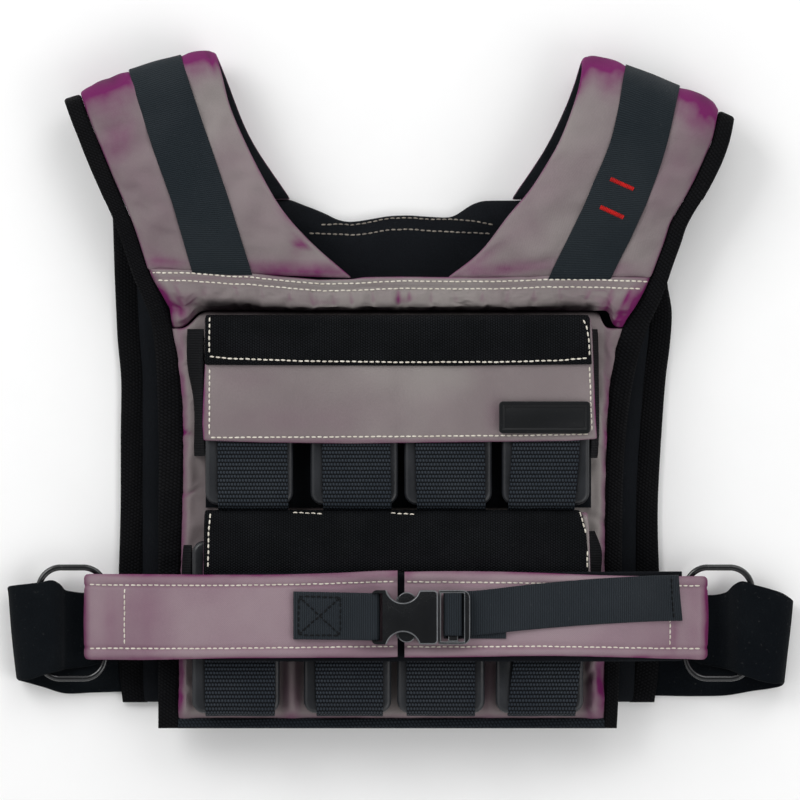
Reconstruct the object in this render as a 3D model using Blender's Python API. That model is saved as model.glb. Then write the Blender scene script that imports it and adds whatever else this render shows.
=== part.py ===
# Weighted vest lying on its back, in metres: +X to the right, +Y to the shoulders, +Z out of its front.
# The origin is on the floor under the middle of the back panel, on the vest's centre line.
import math
from collections import namedtuple

import bmesh
import bpy
from mathutils import Vector

# Room between two pieces that touch
GAP = 0.0003

# Iron weights, in two rows of four
WEIGHT_WIDTH = 0.070
WEIGHT_LENGTH = 0.138
WEIGHT_THICK = 0.020
WEIGHT_CORNER = 0.010
WEIGHT_EDGE = 0.002
WEIGHT_SPACING = 0.0095

# Webbing loops round the weights
LOOP_WIDTH = 0.0555
LOOP_THICK = 0.002
LOOP_BEND = 0.004
LOOP_START = 0.012

# Pocket flaps, their hook bands, side walls and the cloth behind the upper row
FLAP_LENGTH = 0.101
FLAP_THICK = 0.003
FLAP_BEND = 0.007
FLAP_OVERHANG = 0.0025
UPPER_FLAP_X = 0.0083
LOWER_FLAP_X = 0.0060
HOOK_BAND_LENGTH = 0.040
HOOK_BAND_THICK = 0.002
HOOK_BAND_MARGIN = 0.002
FLAP_DROP = 0.0344
UPPER_TUCK = 0.0128
LOWER_TUCK = 0.0246
BACKING_THICK = 0.002
TAB_THICK = 0.002
TAB_SPREAD = 0.013
TAB_RISE = 0.8

# Front panel, its chest band and its edge tape
FRONT_THICK = 0.010
PANEL_RIM = 0.62
PANEL_ROLL = 0.010
FIELD_MARGIN = 0.013
BOTTOM_MARGIN = 0.0105
FRONT_TAPE_WIDTH = 0.018
FRONT_TAPE_THICK = 0.006
BOTTOM_TAPE_WIDTH = 0.009
CHEST_LENGTH = 0.0315
CHEST_SIDE_SAG = 0.015
SAG_START = 0.002
SAG_LENGTH = 0.0274
HEM_ROOM = 0.0015
SEAM_ROOM = 0.0011
CHEST_THICK = 0.022

# Back panel and the open room between back and front
BACK_THICK = 0.012
BACK_LENGTH = 0.390
NECK_DIP = 0.0135
BACK_SIDE = 0.0272
BACK_BEVEL = 0.003
BACK_TAPE_WIDTH = 0.020
BACK_TAPE_THICK = 0.007
HOLLOW_GAP = 0.012

# Shoulder straps
SHOULDER_HALF = 0.270
STRAP_RISE = 0.160
STRAP_THICK = 0.0155
STRAP_FOLD_RADIUS = 0.015
STRAP_SEAM = 0.37
STRAP_TAPE_WIDTH = 0.0136
STRAP_TAPE_THICK = 0.005
STRAP_WEB_THICK = 0.0015
FOLD_STEPS = 6

# Padded belt in two halves, with the strip behind it
BELT_DROP = 0.276
BELT_WIDTH = 0.069
BELT_THICK = 0.006
BELT_END_THICK = 0.0055
BELT_SPLIT = 0.0058
BELT_SPLIT_X = 0.0101
BELT_REACH_LEFT = 0.056
BELT_REACH_RIGHT = 0.066
BELT_FLAT_MARGIN = 0.002
BELT_STRIP_START = 0.018
BELT_LAP = 0.020
BELT_STRIP_WIDTH = 0.072
BELT_STRIP_THICK = 0.002

# Rings and the wide straps through them
RING_WIDTH = 0.058
RING_HEIGHT = 0.094
RING_CORNER = 0.014
RING_WIRE = 0.005
RING_PLAY = 0.0006
RING_OUT = 0.0128
RING_DROP = 0.004
SIDE_STRAP_WIDTH = 0.078
SIDE_STRAP_THICK = 0.003
SIDE_REACH_LEFT = 0.090
SIDE_REACH_RIGHT = 0.110
SIDE_SINK = 0.020
STRAP_REST = 0.0018

# Side-release buckle and its webbing
WEB_WIDTH = 0.038
WEB_THICK = 0.0015
WEB_BEND = 0.00275
WEB_BEND_BACK = 0.0007
WEB_RISE = 0.026
BUCKLE_X = 0.040
BUCKLE_DROP = 0.2748
BUCKLE_WALL = 0.0024
SOCKET_LENGTH = 0.0528
SOCKET_THICK = 0.012
SOCKET_BAR = 0.0036
SOCKET_SLOT = 0.0048
SOCKET_EDGE = 0.0012
NOTCH_BACK = 0.0256
NOTCH_HALF = 0.013
NOTCH_DEPTH = 0.010
CAVITY_DEPTH = 0.036
CAVITY_HALF = 0.0175
CAVITY_HEIGHT = 0.0064
PLUG_LENGTH = 0.0256
PLUG_THICK = 0.0056
PLUG_RAIL = 0.0024
PLUG_SLOT = 0.0056
PLUG_BAR = 0.008
PLUG_EDGE = 0.0005
PLUG_ROUND = 0.006
ARM_LENGTH = 0.0335
BAR_SHARE = 0.1
BOX_STITCH_END = 0.0756
ANCHOR_LENGTH = 0.0288
TAIL_LENGTH = 0.1695
TAIL_DRIFT = 0.0114

# Rubber patch on the upper flap
PATCH_WIDTH = 0.0728
PATCH_HEIGHT = 0.0256
PATCH_THICK = 0.0025
PATCH_RIM = 0.0035
PATCH_RECESS = 0.0008
PATCH_CORNER = 0.003
PATCH_X = 0.1252
PATCH_DROP = 0.0808

# Sizes that follow from those above
PITCH = WEIGHT_WIDTH + WEIGHT_SPACING
FLAP_WIDTH = 4 * WEIGHT_WIDTH + 3 * WEIGHT_SPACING + 2 * FLAP_OVERHANG
FIELD_HALF = FLAP_WIDTH / 2 + FIELD_MARGIN
BACK_HALF = FIELD_HALF + FRONT_TAPE_WIDTH + BACK_SIDE
LOWER_FLAP_DROP = FLAP_DROP + UPPER_TUCK + WEIGHT_LENGTH + LOOP_THICK + HOOK_BAND_MARGIN
FRONT_LENGTH = LOWER_FLAP_DROP + LOWER_TUCK + WEIGHT_LENGTH + LOOP_THICK + BOTTOM_MARGIN
SEAM = BACK_LENGTH / 2 + NECK_DIP
HEM = SEAM - STRAP_SEAM * STRAP_RISE
FRONT_Z = BACK_THICK + HOLLOW_GAP
PANEL_TOP = FRONT_Z + FRONT_THICK
LOWER_SEAT = PANEL_TOP + GAP
UPPER_SEAT = PANEL_TOP + BACKING_THICK + 2 * GAP
BELT_Y = HEM - BELT_DROP
RING_Y = BELT_Y - RING_DROP
BUCKLE_Y = HEM - BUCKLE_DROP
BAR_Z = 2 * SIDE_STRAP_THICK + STRAP_REST + BELT_END_THICK + RING_PLAY + RING_WIRE / 2

Colour = namedtuple("Colour", "red green blue rough metal")
FINISHES = {
    "grey_cloth": Colour(0.22, 0.18, 0.185, 0.62, 0.0),
    "belt_cloth": Colour(0.26, 0.17, 0.21, 0.60, 0.0),
    "black_cloth": Colour(0.010, 0.011, 0.014, 0.85, 0.0),
    "edge_tape": Colour(0.015, 0.014, 0.015, 0.80, 0.0),
    "webbing": Colour(0.022, 0.030, 0.040, 0.70, 0.0),
    "hook_fabric": Colour(0.006, 0.007, 0.009, 0.95, 0.0),
    "cast_iron": Colour(0.025, 0.026, 0.030, 0.35, 0.9),
    "buckle_plastic": Colour(0.020, 0.022, 0.024, 0.42, 0.0),
    "ring_metal": Colour(0.012, 0.013, 0.015, 0.25, 0.9),
    "patch_rubber": Colour(0.012, 0.013, 0.015, 0.60, 0.0),
}

# Side edges of the front field: down from the hem as shares of its length,
# left and right as shares of its half width, tapes as shares of the tape's width.
FieldRow = namedtuple("FieldRow", "down left right left_tape right_tape")
FIELD_ROWS = [
    FieldRow(-0.020, -1.136, 1.239, 0.76, 0.76),
    FieldRow(0.077, -1.032, 1.169, 1.00, 0.95),
    FieldRow(0.131, -1.013, 1.095, 0.95, 0.95),
    FieldRow(0.249, -0.976, 1.046, 1.06, 0.90),
    FieldRow(0.324, -0.966, 1.032, 1.12, 0.90),
    FieldRow(0.630, -0.966, 1.018, 1.12, 0.80),
    FieldRow(1.000, -0.990, 1.018, 0.95, 0.65),
]

# Side edges of the back panel: up from its bottom edge as shares of its length,
# left and right as shares of its half width.
BackRow = namedtuple("BackRow", "up left right")
BACK_ROWS = [
    BackRow(0.000, -0.990, 0.993),
    BackRow(0.025, -0.997, 1.001),
    BackRow(0.440, -0.997, 1.008),
    BackRow(0.680, -0.997, 1.038),
    BackRow(0.805, -1.010, 1.056),
    BackRow(0.875, -1.019, 1.046),
    BackRow(0.930, -1.021, 1.074),
    BackRow(1.000, -1.030, 1.140),
    BackRow(1.040, -1.057, 1.172),
]

# Neckline between the shoulder seams: across as shares of the back's half width,
# dip below the seams as shares of the neckline's dip.
NeckRow = namedtuple("NeckRow", "across dip")
NECK_ROWS = [
    NeckRow(-0.270, 0.72),
    NeckRow(-0.190, 1.13),
    NeckRow(-0.070, 1.10),
    NeckRow(0.078, 0.88),
    NeckRow(0.230, 1.00),
    NeckRow(0.300, 0.50),
]

# Shoulder straps: x as shares of the shoulders' half width, y above the hem as shares of the strap's rise,
# height from the hem (0) to the fold (1), fullness of the pad, and where the webbing lies across it.
StrapRow = namedtuple("StrapRow", "left_x left_y right_x right_y height full web_from web_to")
LEFT_FRONT = [
    StrapRow(-0.714, 0.015, -0.104, -0.025, 0.00, 0.74, 0.21, 0.50),
    StrapRow(-0.738, 0.150, -0.231, 0.160, 0.34, 0.96, 0.26, 0.58),
    StrapRow(-0.759, 0.260, -0.308, 0.305, 0.58, 1.00, 0.29, 0.62),
    StrapRow(-0.791, 0.390, -0.376, 0.495, 0.80, 1.00, 0.32, 0.66),
    StrapRow(-0.821, 0.510, -0.430, 0.680, 0.94, 1.00, 0.35, 0.70),
    StrapRow(-0.859, 0.655, -0.468, 0.825, 1.00, 1.00, 0.37, 0.74),
    StrapRow(-0.889, 0.770, -0.480, 0.940, 1.00, 1.00, 0.37, 0.75),
]
LEFT_BACK = [
    StrapRow(-0.889, 0.770, -0.471, 0.920, 1.00, 1.00, 0.37, 0.75),
    StrapRow(-0.844, 0.585, -0.409, 0.685, 0.97, 0.98, 0.37, 0.72),
    StrapRow(-0.791, 0.370, -0.287, 0.370, 0.00, 0.62, 0.37, 0.70),
]
RIGHT_FRONT = [
    StrapRow(0.172, -0.025, 0.779, -0.025, 0.00, 0.74, 0.49, 0.81),
    StrapRow(0.281, 0.120, 0.821, 0.160, 0.34, 0.96, 0.41, 0.74),
    StrapRow(0.356, 0.285, 0.841, 0.260, 0.58, 1.00, 0.36, 0.70),
    StrapRow(0.418, 0.410, 0.871, 0.350, 0.80, 1.00, 0.31, 0.67),
    StrapRow(0.465, 0.530, 0.904, 0.450, 0.94, 1.00, 0.28, 0.66),
    StrapRow(0.513, 0.670, 0.945, 0.585, 1.00, 1.00, 0.27, 0.68),
    StrapRow(0.560, 0.860, 0.966, 0.675, 1.00, 1.00, 0.26, 0.70),
]
RIGHT_BACK = [
    StrapRow(0.551, 0.880, 0.966, 0.675, 1.00, 1.00, 0.26, 0.70),
    StrapRow(0.471, 0.640, 0.924, 0.510, 0.97, 0.98, 0.28, 0.68),
    StrapRow(0.356, 0.370, 0.883, 0.370, 0.00, 0.62, 0.30, 0.66),
]
# How far each strap's fold leans sideways on its way up
LEFT_LEAN = -0.36
RIGHT_LEAN = 0.20

# Cross sections: place across as a share of the width, and the share of the full thickness there
Swell = namedtuple("Swell", "across full")
FLAT_SECTION = [Swell(0.0, 1.0), Swell(1.0, 1.0)]
SOFT_SECTION = [Swell(0.0, 0.6), Swell(0.04, 1.0), Swell(0.96, 1.0), Swell(1.0, 0.6)]
TAPE_SECTION = [Swell(0.0, 0.55), Swell(0.2, 1.0), Swell(0.8, 1.0), Swell(1.0, 0.55)]
BELT_SECTION = [
    Swell(0.00, 0.50),
    Swell(0.06, 1.00),
    Swell(0.15, 0.80),
    Swell(0.85, 0.80),
    Swell(0.94, 1.00),
    Swell(1.00, 0.50),
]
PAD_CROWN = 1.08
PAD_SECTION = [
    Swell(0.00, 0.42),
    Swell(0.05, 0.80),
    Swell(0.16, 1.02),
    Swell(0.50, PAD_CROWN),
    Swell(0.84, 1.02),
    Swell(0.95, 0.80),
    Swell(1.00, 0.42),
]

# Chest band from its hem down: the flat stitched hem, the puffed field and the pinched lower edge
ChestRow = namedtuple("ChestRow", "down full")
CHEST_ROWS = [
    ChestRow(0.00, 0.62),
    ChestRow(0.12, 0.72),
    ChestRow(0.32, 0.68),
    ChestRow(0.50, 0.90),
    ChestRow(0.637, 0.99),
    ChestRow(0.78, 0.98),
    ChestRow(0.91, 0.80),
    ChestRow(1.00, 0.46),
]
# Gathers across the chest band: place and half width as shares of its width, depth of its thickness
Gather = namedtuple("Gather", "across half deep")
GATHERS = [
    Gather(0.035, 0.030, 0.22),
    Gather(0.170, 0.045, 0.10),
    Gather(0.330, 0.040, 0.09),
    Gather(0.502, 0.028, 0.24),
    Gather(0.670, 0.045, 0.09),
    Gather(0.830, 0.040, 0.10),
    Gather(0.955, 0.030, 0.22),
]
CHEST_COLUMNS = 24

# The four pockets of each row: middle of the weight and of its loop, in pitches from the centre line
Pocket = namedtuple("Pocket", "weight loop")
UPPER_POCKETS = [
    Pocket(-1.396, -1.366),
    Pocket(-0.340, -0.322),
    Pocket(0.604, 0.621),
    Pocket(1.585, 1.570),
]
LOWER_POCKETS = [
    Pocket(-1.530, -1.494),
    Pocket(-0.408, -0.397),
    Pocket(0.533, 0.528),
    Pocket(1.524, 1.595),
]

# Pocket side walls: the weight beside each in pitches, its side, its lean as a share of the spread,
# and where it starts and ends below the flap's root as shares of the flap's length
Tab = namedtuple("Tab", "weight side spread from_drop to_drop")
UPPER_TABS = {
    "upper_tab_left": Tab(UPPER_POCKETS[0].weight, -1, 0.96, 0.13, 1.12),
    "upper_tab_right": Tab(UPPER_POCKETS[3].weight, 1, 0.42, 0.13, 1.14),
}
LOWER_TABS = {
    "lower_tab_left": Tab(LOWER_POCKETS[0].weight, -1, 0.54, 0.27, 1.10),
    "lower_tab_right": Tab(LOWER_POCKETS[3].weight, 1, 1.00, 0.16, 1.10),
}

# Belt from its level stretch over the pockets (past 0) to the rings (past 1), height as a share of the drop
DropRow = namedtuple("DropRow", "past height")
BELT_ROWS = [
    DropRow(0.00, 1.000),
    DropRow(0.12, 0.955),
    DropRow(0.25, 0.800),
    DropRow(0.38, 0.600),
    DropRow(0.50, 0.420),
    DropRow(0.62, 0.250),
    DropRow(0.73, 0.120),
    DropRow(0.84, 0.030),
    DropRow(1.00, 0.000),
]

# One spring arm and half the tongue of the plug: back into the socket as shares of the arm's length,
# across as shares of the cavity's half width
ArmRow = namedtuple("ArmRow", "back across")
ARM_ROWS = [
    ArmRow(0.49, 1.00),
    ArmRow(0.60, 1.10),
    ArmRow(0.90, 1.075),
    ArmRow(1.00, 0.93),
    ArmRow(1.00, 0.785),
    ArmRow(0.925, 0.67),
    ArmRow(0.48, 0.755),
    ArmRow(0.03, 0.67),
    ArmRow(0.03, 0.175),
    ArmRow(0.775, 0.14),
]

# Side straps along their length: how far their middle sinks below the belt's, and their width
SideRow = namedtuple("SideRow", "along sink wide")
SIDE_ROWS = [
    SideRow(0.00, 1.00, 1.02),
    SideRow(0.14, 0.92, 1.02),
    SideRow(0.58, 0.50, 0.96),
    SideRow(0.64, 0.24, 0.86),
    SideRow(1.00, 0.20, 0.80),
]
# Their way over the ring's outer bar: past it in bar clearances, height from resting (0) to over the bar (1)
RingRow = namedtuple("RingRow", "past height")
RING_ROWS = [
    RingRow(0.0, 1.00),
    RingRow(1.1, 0.89),
    RingRow(2.2, 0.50),
    RingRow(3.4, 0.07),
    RingRow(4.6, 0.00),
    RingRow(13.0, 0.00),
]
SIDE_TURN_STEPS = 6

Stop = namedtuple("Stop", "left right thick")
materials = {}


def between(rows, share, column):
    # The column's value at this share of the first column, straight between the table's rows
    for low, high in zip(rows, rows[1:]):
        if share <= high[0]:
            break
    part = (share - low[0]) / (high[0] - low[0])
    return getattr(low, column) + part * (getattr(high, column) - getattr(low, column))


def material(slot):
    if slot not in materials:
        finish = FINISHES[slot]
        made = bpy.data.materials.new(slot)
        made.use_nodes = True
        shader = made.node_tree.nodes["Principled BSDF"]
        shader.inputs["Base Color"].default_value = (finish.red, finish.green, finish.blue, 1)
        shader.inputs["Roughness"].default_value = finish.rough
        shader.inputs["Metallic"].default_value = finish.metal
        materials[slot] = made
    return materials[slot]


def add_object(name, slot, bm, sharp=40):
    bmesh.ops.recalc_face_normals(bm, faces=bm.faces)
    mesh = bpy.data.meshes.new(name)
    bm.to_mesh(mesh)
    bm.free()
    mesh.materials.append(material(slot))
    mesh.shade_smooth()
    mesh.set_sharp_from_angle(angle=math.radians(sharp))
    made = bpy.data.objects.new(name, mesh)
    bpy.context.scene.collection.objects.link(made)
    return made


def slab(name, slot, across, along, point):
    # A closed solid between the surface point(u, v, 0) and the surface point(u, v, 1)
    bm = bmesh.new()
    under = [[bm.verts.new(point(u, v, 0)) for u in across] for v in along]
    over = [[bm.verts.new(point(u, v, 1)) for u in across] for v in along]
    last_u = len(across) - 1
    last_v = len(along) - 1
    for sheet in (under, over):
        for j in range(last_v):
            for i in range(last_u):
                bm.faces.new((sheet[j][i], sheet[j][i + 1], sheet[j + 1][i + 1], sheet[j + 1][i]))
    for j in range(last_v):
        for i in (0, last_u):
            bm.faces.new((under[j][i], under[j + 1][i], over[j + 1][i], over[j][i]))
    for i in range(last_u):
        for j in (0, last_v):
            bm.faces.new((under[j][i], under[j][i + 1], over[j][i + 1], over[j][i]))
    return add_object(name, slot, bm)


def level_stop(left_x, right_x, y, z, thick):
    return Stop(Vector((left_x, y, z)), Vector((right_x, y, z)), thick)


def stop_normals(stops):
    # Each stop's outward direction, square to its own width and to the path through its neighbours
    middles = [(stop.left + stop.right) / 2 for stop in stops]
    found = []
    for i, stop in enumerate(stops):
        along = middles[min(i + 1, len(stops) - 1)] - middles[max(i - 1, 0)]
        found.append((stop.right - stop.left).cross(along).normalized())
    return found


def ribbon(name, slot, stops, section, flat_under=False):
    # A strip of cloth, webbing or padding through the stops, with the section's thickness across it
    turned = stop_normals(stops)

    def point(u, v, level):
        stop = stops[v]
        full = between(section, u, "full")
        if flat_under:
            height = stop.thick * full * level
        else:
            height = stop.thick * full * (level - 0.5)
        return stop.left.lerp(stop.right, u) + turned[v] * height

    return slab(name, slot, [row.across for row in section], range(len(stops)), point)


def shifted(stops, height, from_share, to_share, thick):
    # Stops on the same path, set off by a height along its outward direction, between two shares of its width
    moved = []
    for stop, turned, first, last in zip(stops, stop_normals(stops), from_share, to_share):
        left = stop.left.lerp(stop.right, first) + turned * height
        right = stop.left.lerp(stop.right, last) + turned * height
        moved.append(Stop(left, right, thick))
    return moved


def arc(middle_x, middle_z, radius, from_angle, to_angle, steps):
    # Points of an arc in degrees, with 0 along the first axis and 90 along the second
    angles = [math.radians(from_angle + (to_angle - from_angle) * k / steps) for k in range(steps + 1)]
    return [(middle_x + radius * math.cos(a), middle_z + radius * math.sin(a)) for a in angles]


def across_stops(points, y, width, thick, sinks=None):
    # Stops for a strip that runs along X, from (x, z) points
    half = width / 2
    sinks = sinks or [0.0] * len(points)
    return [
        Stop(Vector((x, y - sink - half, z)), Vector((x, y - sink + half, z)), thick)
        for (x, z), sink in zip(points, sinks)
    ]


def down_stops(points, left, right, thick):
    # Stops for a strip that runs along Y, from (y, z) points
    return [level_stop(left, right, y, z, thick) for y, z in points]


def prism(name, slot, outline, low, high, bevel=0.0):
    # An outline in X and Y made solid between two heights, with its upper edge bevelled
    bm = bmesh.new()
    floor = bm.faces.new([bm.verts.new((x, y, low)) for x, y in outline])
    grown = bmesh.ops.extrude_face_region(bm, geom=[floor])["geom"]
    raised = [item for item in grown if isinstance(item, bmesh.types.BMVert)]
    bmesh.ops.translate(bm, vec=(0, 0, high - low), verts=raised)
    if bevel:
        rim = [edge for edge in bm.edges if all(vert in raised for vert in edge.verts)]
        bmesh.ops.bevel(bm, geom=rim, offset=bevel, segments=1, affect="EDGES")
    return add_object(name, slot, bm)


def rounded_outline(middle, width, height, corner, steps):
    # A rectangle with round corners, as (x, y) points
    points = []
    for turn, side_x, side_y in ((0, 1, 1), (90, -1, 1), (180, -1, -1), (270, 1, -1)):
        corner_x = middle[0] + side_x * (width / 2 - corner)
        corner_y = middle[1] + side_y * (height / 2 - corner)
        points += arc(corner_x, corner_y, corner, turn, turn + 90, steps)
    return points


def bevelled_block(name, slot, outline, low, high, edge):
    # A prism with a small bevel round both faces
    bm = bmesh.new()
    floor = bm.faces.new([bm.verts.new((x, y, low)) for x, y in outline])
    grown = bmesh.ops.extrude_face_region(bm, geom=[floor])["geom"]
    raised = [item for item in grown if isinstance(item, bmesh.types.BMVert)]
    bmesh.ops.translate(bm, vec=(0, 0, high - low), verts=raised)
    rims = [e for e in bm.edges if abs(e.verts[0].co.z - e.verts[1].co.z) < GAP]
    bmesh.ops.bevel(bm, geom=rims, offset=edge, segments=1, affect="EDGES")
    return add_object(name, slot, bm)


def cut(target, outline, low, high):
    # Takes a prism out of the target with a Boolean
    cutter = prism(target.name + "_cutter", "buckle_plastic", outline, low, high)
    cutter.hide_render = True
    cutter.display_type = "WIRE"
    boolean = target.modifiers.new("cut", "BOOLEAN")
    boolean.operation = "DIFFERENCE"
    boolean.solver = "EXACT"
    boolean.object = cutter


def box_outline(low_x, low_y, high_x, high_y):
    return [(low_x, low_y), (high_x, low_y), (high_x, high_y), (low_x, high_y)]


def field_edges(y):
    # Left and right edges of the front field, and the widths of the tapes beside it, at this height
    down = (HEM - y) / FRONT_LENGTH
    left = between(FIELD_ROWS, down, "left") * FIELD_HALF
    right = between(FIELD_ROWS, down, "right") * FIELD_HALF
    left_tape = between(FIELD_ROWS, down, "left_tape") * FRONT_TAPE_WIDTH
    right_tape = between(FIELD_ROWS, down, "right_tape") * FRONT_TAPE_WIDTH
    return left, right, left_tape, right_tape


def back_edges(y):
    up = (y + BACK_LENGTH / 2) / BACK_LENGTH
    return between(BACK_ROWS, up, "left") * BACK_HALF, between(BACK_ROWS, up, "right") * BACK_HALF


def strap_point(x_share, y_share, z):
    return Vector((x_share * SHOULDER_HALF, HEM + y_share * STRAP_RISE, z))


def strap_heights():
    # Middle of the pad at the hem, before and after the fold, and at the back seam
    at_hem = FRONT_Z + STRAP_THICK * PAD_CROWN * LEFT_FRONT[0].full / 2
    low = STRAP_THICK * PAD_CROWN / 2 + STRAP_WEB_THICK + 2 * GAP
    return at_hem, low + 2 * STRAP_FOLD_RADIUS, low, BACK_THICK / 2


def strap_stops(front, back, lean):
    # The strap's way from the hem up the front, round the fold and down to the back seam
    at_hem, fold_top, fold_low, at_seam = strap_heights()
    stops = []
    for row in front:
        z = at_hem + (fold_top - at_hem) * row.height
        left = strap_point(row.left_x, row.left_y, z)
        right = strap_point(row.right_x, row.right_y, z)
        stops.append(Stop(left, right, STRAP_THICK * row.full))
    outward = Vector((lean, 1, 0)).normalized()
    first, last = front[-1], back[0]
    for step in range(1, FOLD_STEPS):
        part = step / FOLD_STEPS
        turn = math.pi * part
        z = (fold_top + fold_low) / 2 + STRAP_FOLD_RADIUS * math.cos(turn)
        left = strap_point(first.left_x, first.left_y, z)
        left = left.lerp(strap_point(last.left_x, last.left_y, z), part)
        right = strap_point(first.right_x, first.right_y, z)
        right = right.lerp(strap_point(last.right_x, last.right_y, z), part)
        swing = outward * STRAP_FOLD_RADIUS * math.sin(turn)
        stops.append(Stop(left + swing, right + swing, STRAP_THICK))
    for row in back:
        z = at_seam + (fold_low - at_seam) * row.height
        left = strap_point(row.left_x, row.left_y, z)
        right = strap_point(row.right_x, row.right_y, z)
        stops.append(Stop(left, right, STRAP_THICK * row.full))
    return stops


def build_strap(side, front, back, lean):
    stops = strap_stops(front, back, lean)
    ribbon("shoulder_pad_" + side, "grey_cloth", stops, PAD_SECTION)
    tape = []
    for stop in stops:
        outward = (stop.left - stop.right).normalized()
        if side == "left":
            inner = stop.left + outward * GAP
            tape.append(Stop(inner + outward * STRAP_TAPE_WIDTH, inner, STRAP_TAPE_THICK))
        else:
            inner = stop.right - outward * GAP
            tape.append(Stop(inner, inner - outward * STRAP_TAPE_WIDTH, STRAP_TAPE_THICK))
    ribbon("shoulder_binding_" + side, "edge_tape", tape, TAPE_SECTION)
    rows = front + [front[-1]] * (FOLD_STEPS - 1) + back
    height = STRAP_THICK * PAD_CROWN / 2 + GAP + STRAP_WEB_THICK / 2
    web = shifted(
        stops, height, [row.web_from for row in rows], [row.web_to for row in rows], STRAP_WEB_THICK
    )
    # The webbing starts past the hem and stops short of the back seam
    ribbon("shoulder_webbing_" + side, "webbing", web[:-1], FLAT_SECTION)


def build_back():
    low = -BACK_LENGTH / 2
    ys = [low + row.up * BACK_LENGTH for row in BACK_ROWS[:-1]]
    top = SEAM - SEAM_ROOM
    left_side = [(back_edges(y)[0] + BACK_TAPE_WIDTH + GAP, y) for y in ys]
    right_side = [(back_edges(y)[1] - BACK_TAPE_WIDTH - GAP, y) for y in ys]
    left_seam, right_seam = LEFT_BACK[-1], RIGHT_BACK[-1]
    seam_points = [
        (left_seam.left_x * SHOULDER_HALF, top),
        (left_seam.right_x * SHOULDER_HALF, top),
    ]
    neck = [(row.across * BACK_HALF, top - row.dip * NECK_DIP) for row in NECK_ROWS]
    far_seam = [
        (right_seam.left_x * SHOULDER_HALF, top),
        (right_seam.right_x * SHOULDER_HALF, top),
    ]
    outline = left_side + seam_points + neck + far_seam + right_side[::-1]
    prism("back_panel", "black_cloth", outline, 0.0, BACK_THICK, BACK_BEVEL)
    left_tape = []
    right_tape = []
    for y in ys:
        left, right = back_edges(y)
        left_tape.append(level_stop(left, left + BACK_TAPE_WIDTH, y, 0.0, BACK_TAPE_THICK))
        right_tape.append(level_stop(right - BACK_TAPE_WIDTH, right, y, 0.0, BACK_TAPE_THICK))
    ribbon("back_binding_left", "edge_tape", left_tape, TAPE_SECTION, flat_under=True)
    ribbon("back_binding_right", "edge_tape", right_tape, TAPE_SECTION, flat_under=True)


def hem_line(x):
    # The hem's height at this x, just below the straight line between the straps' corners
    corners = []
    for row in (LEFT_FRONT[0], RIGHT_FRONT[0]):
        corners.append((row.left_x * SHOULDER_HALF, row.left_y * STRAP_RISE))
        corners.append((row.right_x * SHOULDER_HALF, row.right_y * STRAP_RISE))
    for low, high in zip(corners, corners[1:]):
        if x <= high[0]:
            break
    return HEM - HEM_ROOM + low[1] + (x - low[0]) / (high[0] - low[0]) * (high[1] - low[1])


def chest_foot(x):
    # The chest band's lower edge: level over the pockets, sagging beside them
    over = min(1.0, max(0.0, (abs(x - UPPER_FLAP_X) - FLAP_WIDTH / 2 - SAG_START) / SAG_LENGTH))
    return HEM - CHEST_LENGTH - CHEST_SIDE_SAG * over


def gather_depth(u):
    depth = 0.0
    for gather in GATHERS:
        away = abs(u - gather.across) / gather.half
        if away < 1:
            depth += gather.deep * (1 - away) ** 2 * (1 + 2 * away)
    return depth


def field_x(u, y):
    left, right, _, _ = field_edges(y)
    return left + (right - left) * u


def chest_columns():
    return [k / CHEST_COLUMNS for k in range(CHEST_COLUMNS + 1)]


def build_chest_band():
    across = chest_columns()

    def point(u, v, level):
        top = hem_line(field_x(u, HEM))
        foot = chest_foot(field_x(u, HEM - CHEST_LENGTH)) + GAP
        y = top + (foot - top) * v
        full = between(CHEST_ROWS, v, "full") * (1 - gather_depth(u) * math.sin(math.pi * v))
        return Vector((field_x(u, y), y, FRONT_Z + CHEST_THICK * full * level))

    slab("chest_band", "grey_cloth", across, [row.down for row in CHEST_ROWS], point)


def build_front_panel():
    # Its upper edge follows the chest band, its other rows lie where the side edges turn
    across = chest_columns()
    heights = [HEM - row.down * FRONT_LENGTH for row in FIELD_ROWS[2:-1]]
    foot = HEM - FRONT_LENGTH + BOTTOM_TAPE_WIDTH + GAP
    heights += [foot + PANEL_ROLL, foot]

    def point(u, v, level):
        y = heights[v - 1] if v else chest_foot(field_x(u, HEM - CHEST_LENGTH)) - GAP
        rim = PANEL_RIM if u in (0, 1) or v == len(heights) else 1.0
        return Vector((field_x(u, y), y, FRONT_Z + FRONT_THICK * rim * level))

    slab("front_panel", "grey_cloth", across, range(len(heights) + 1), point)


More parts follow.
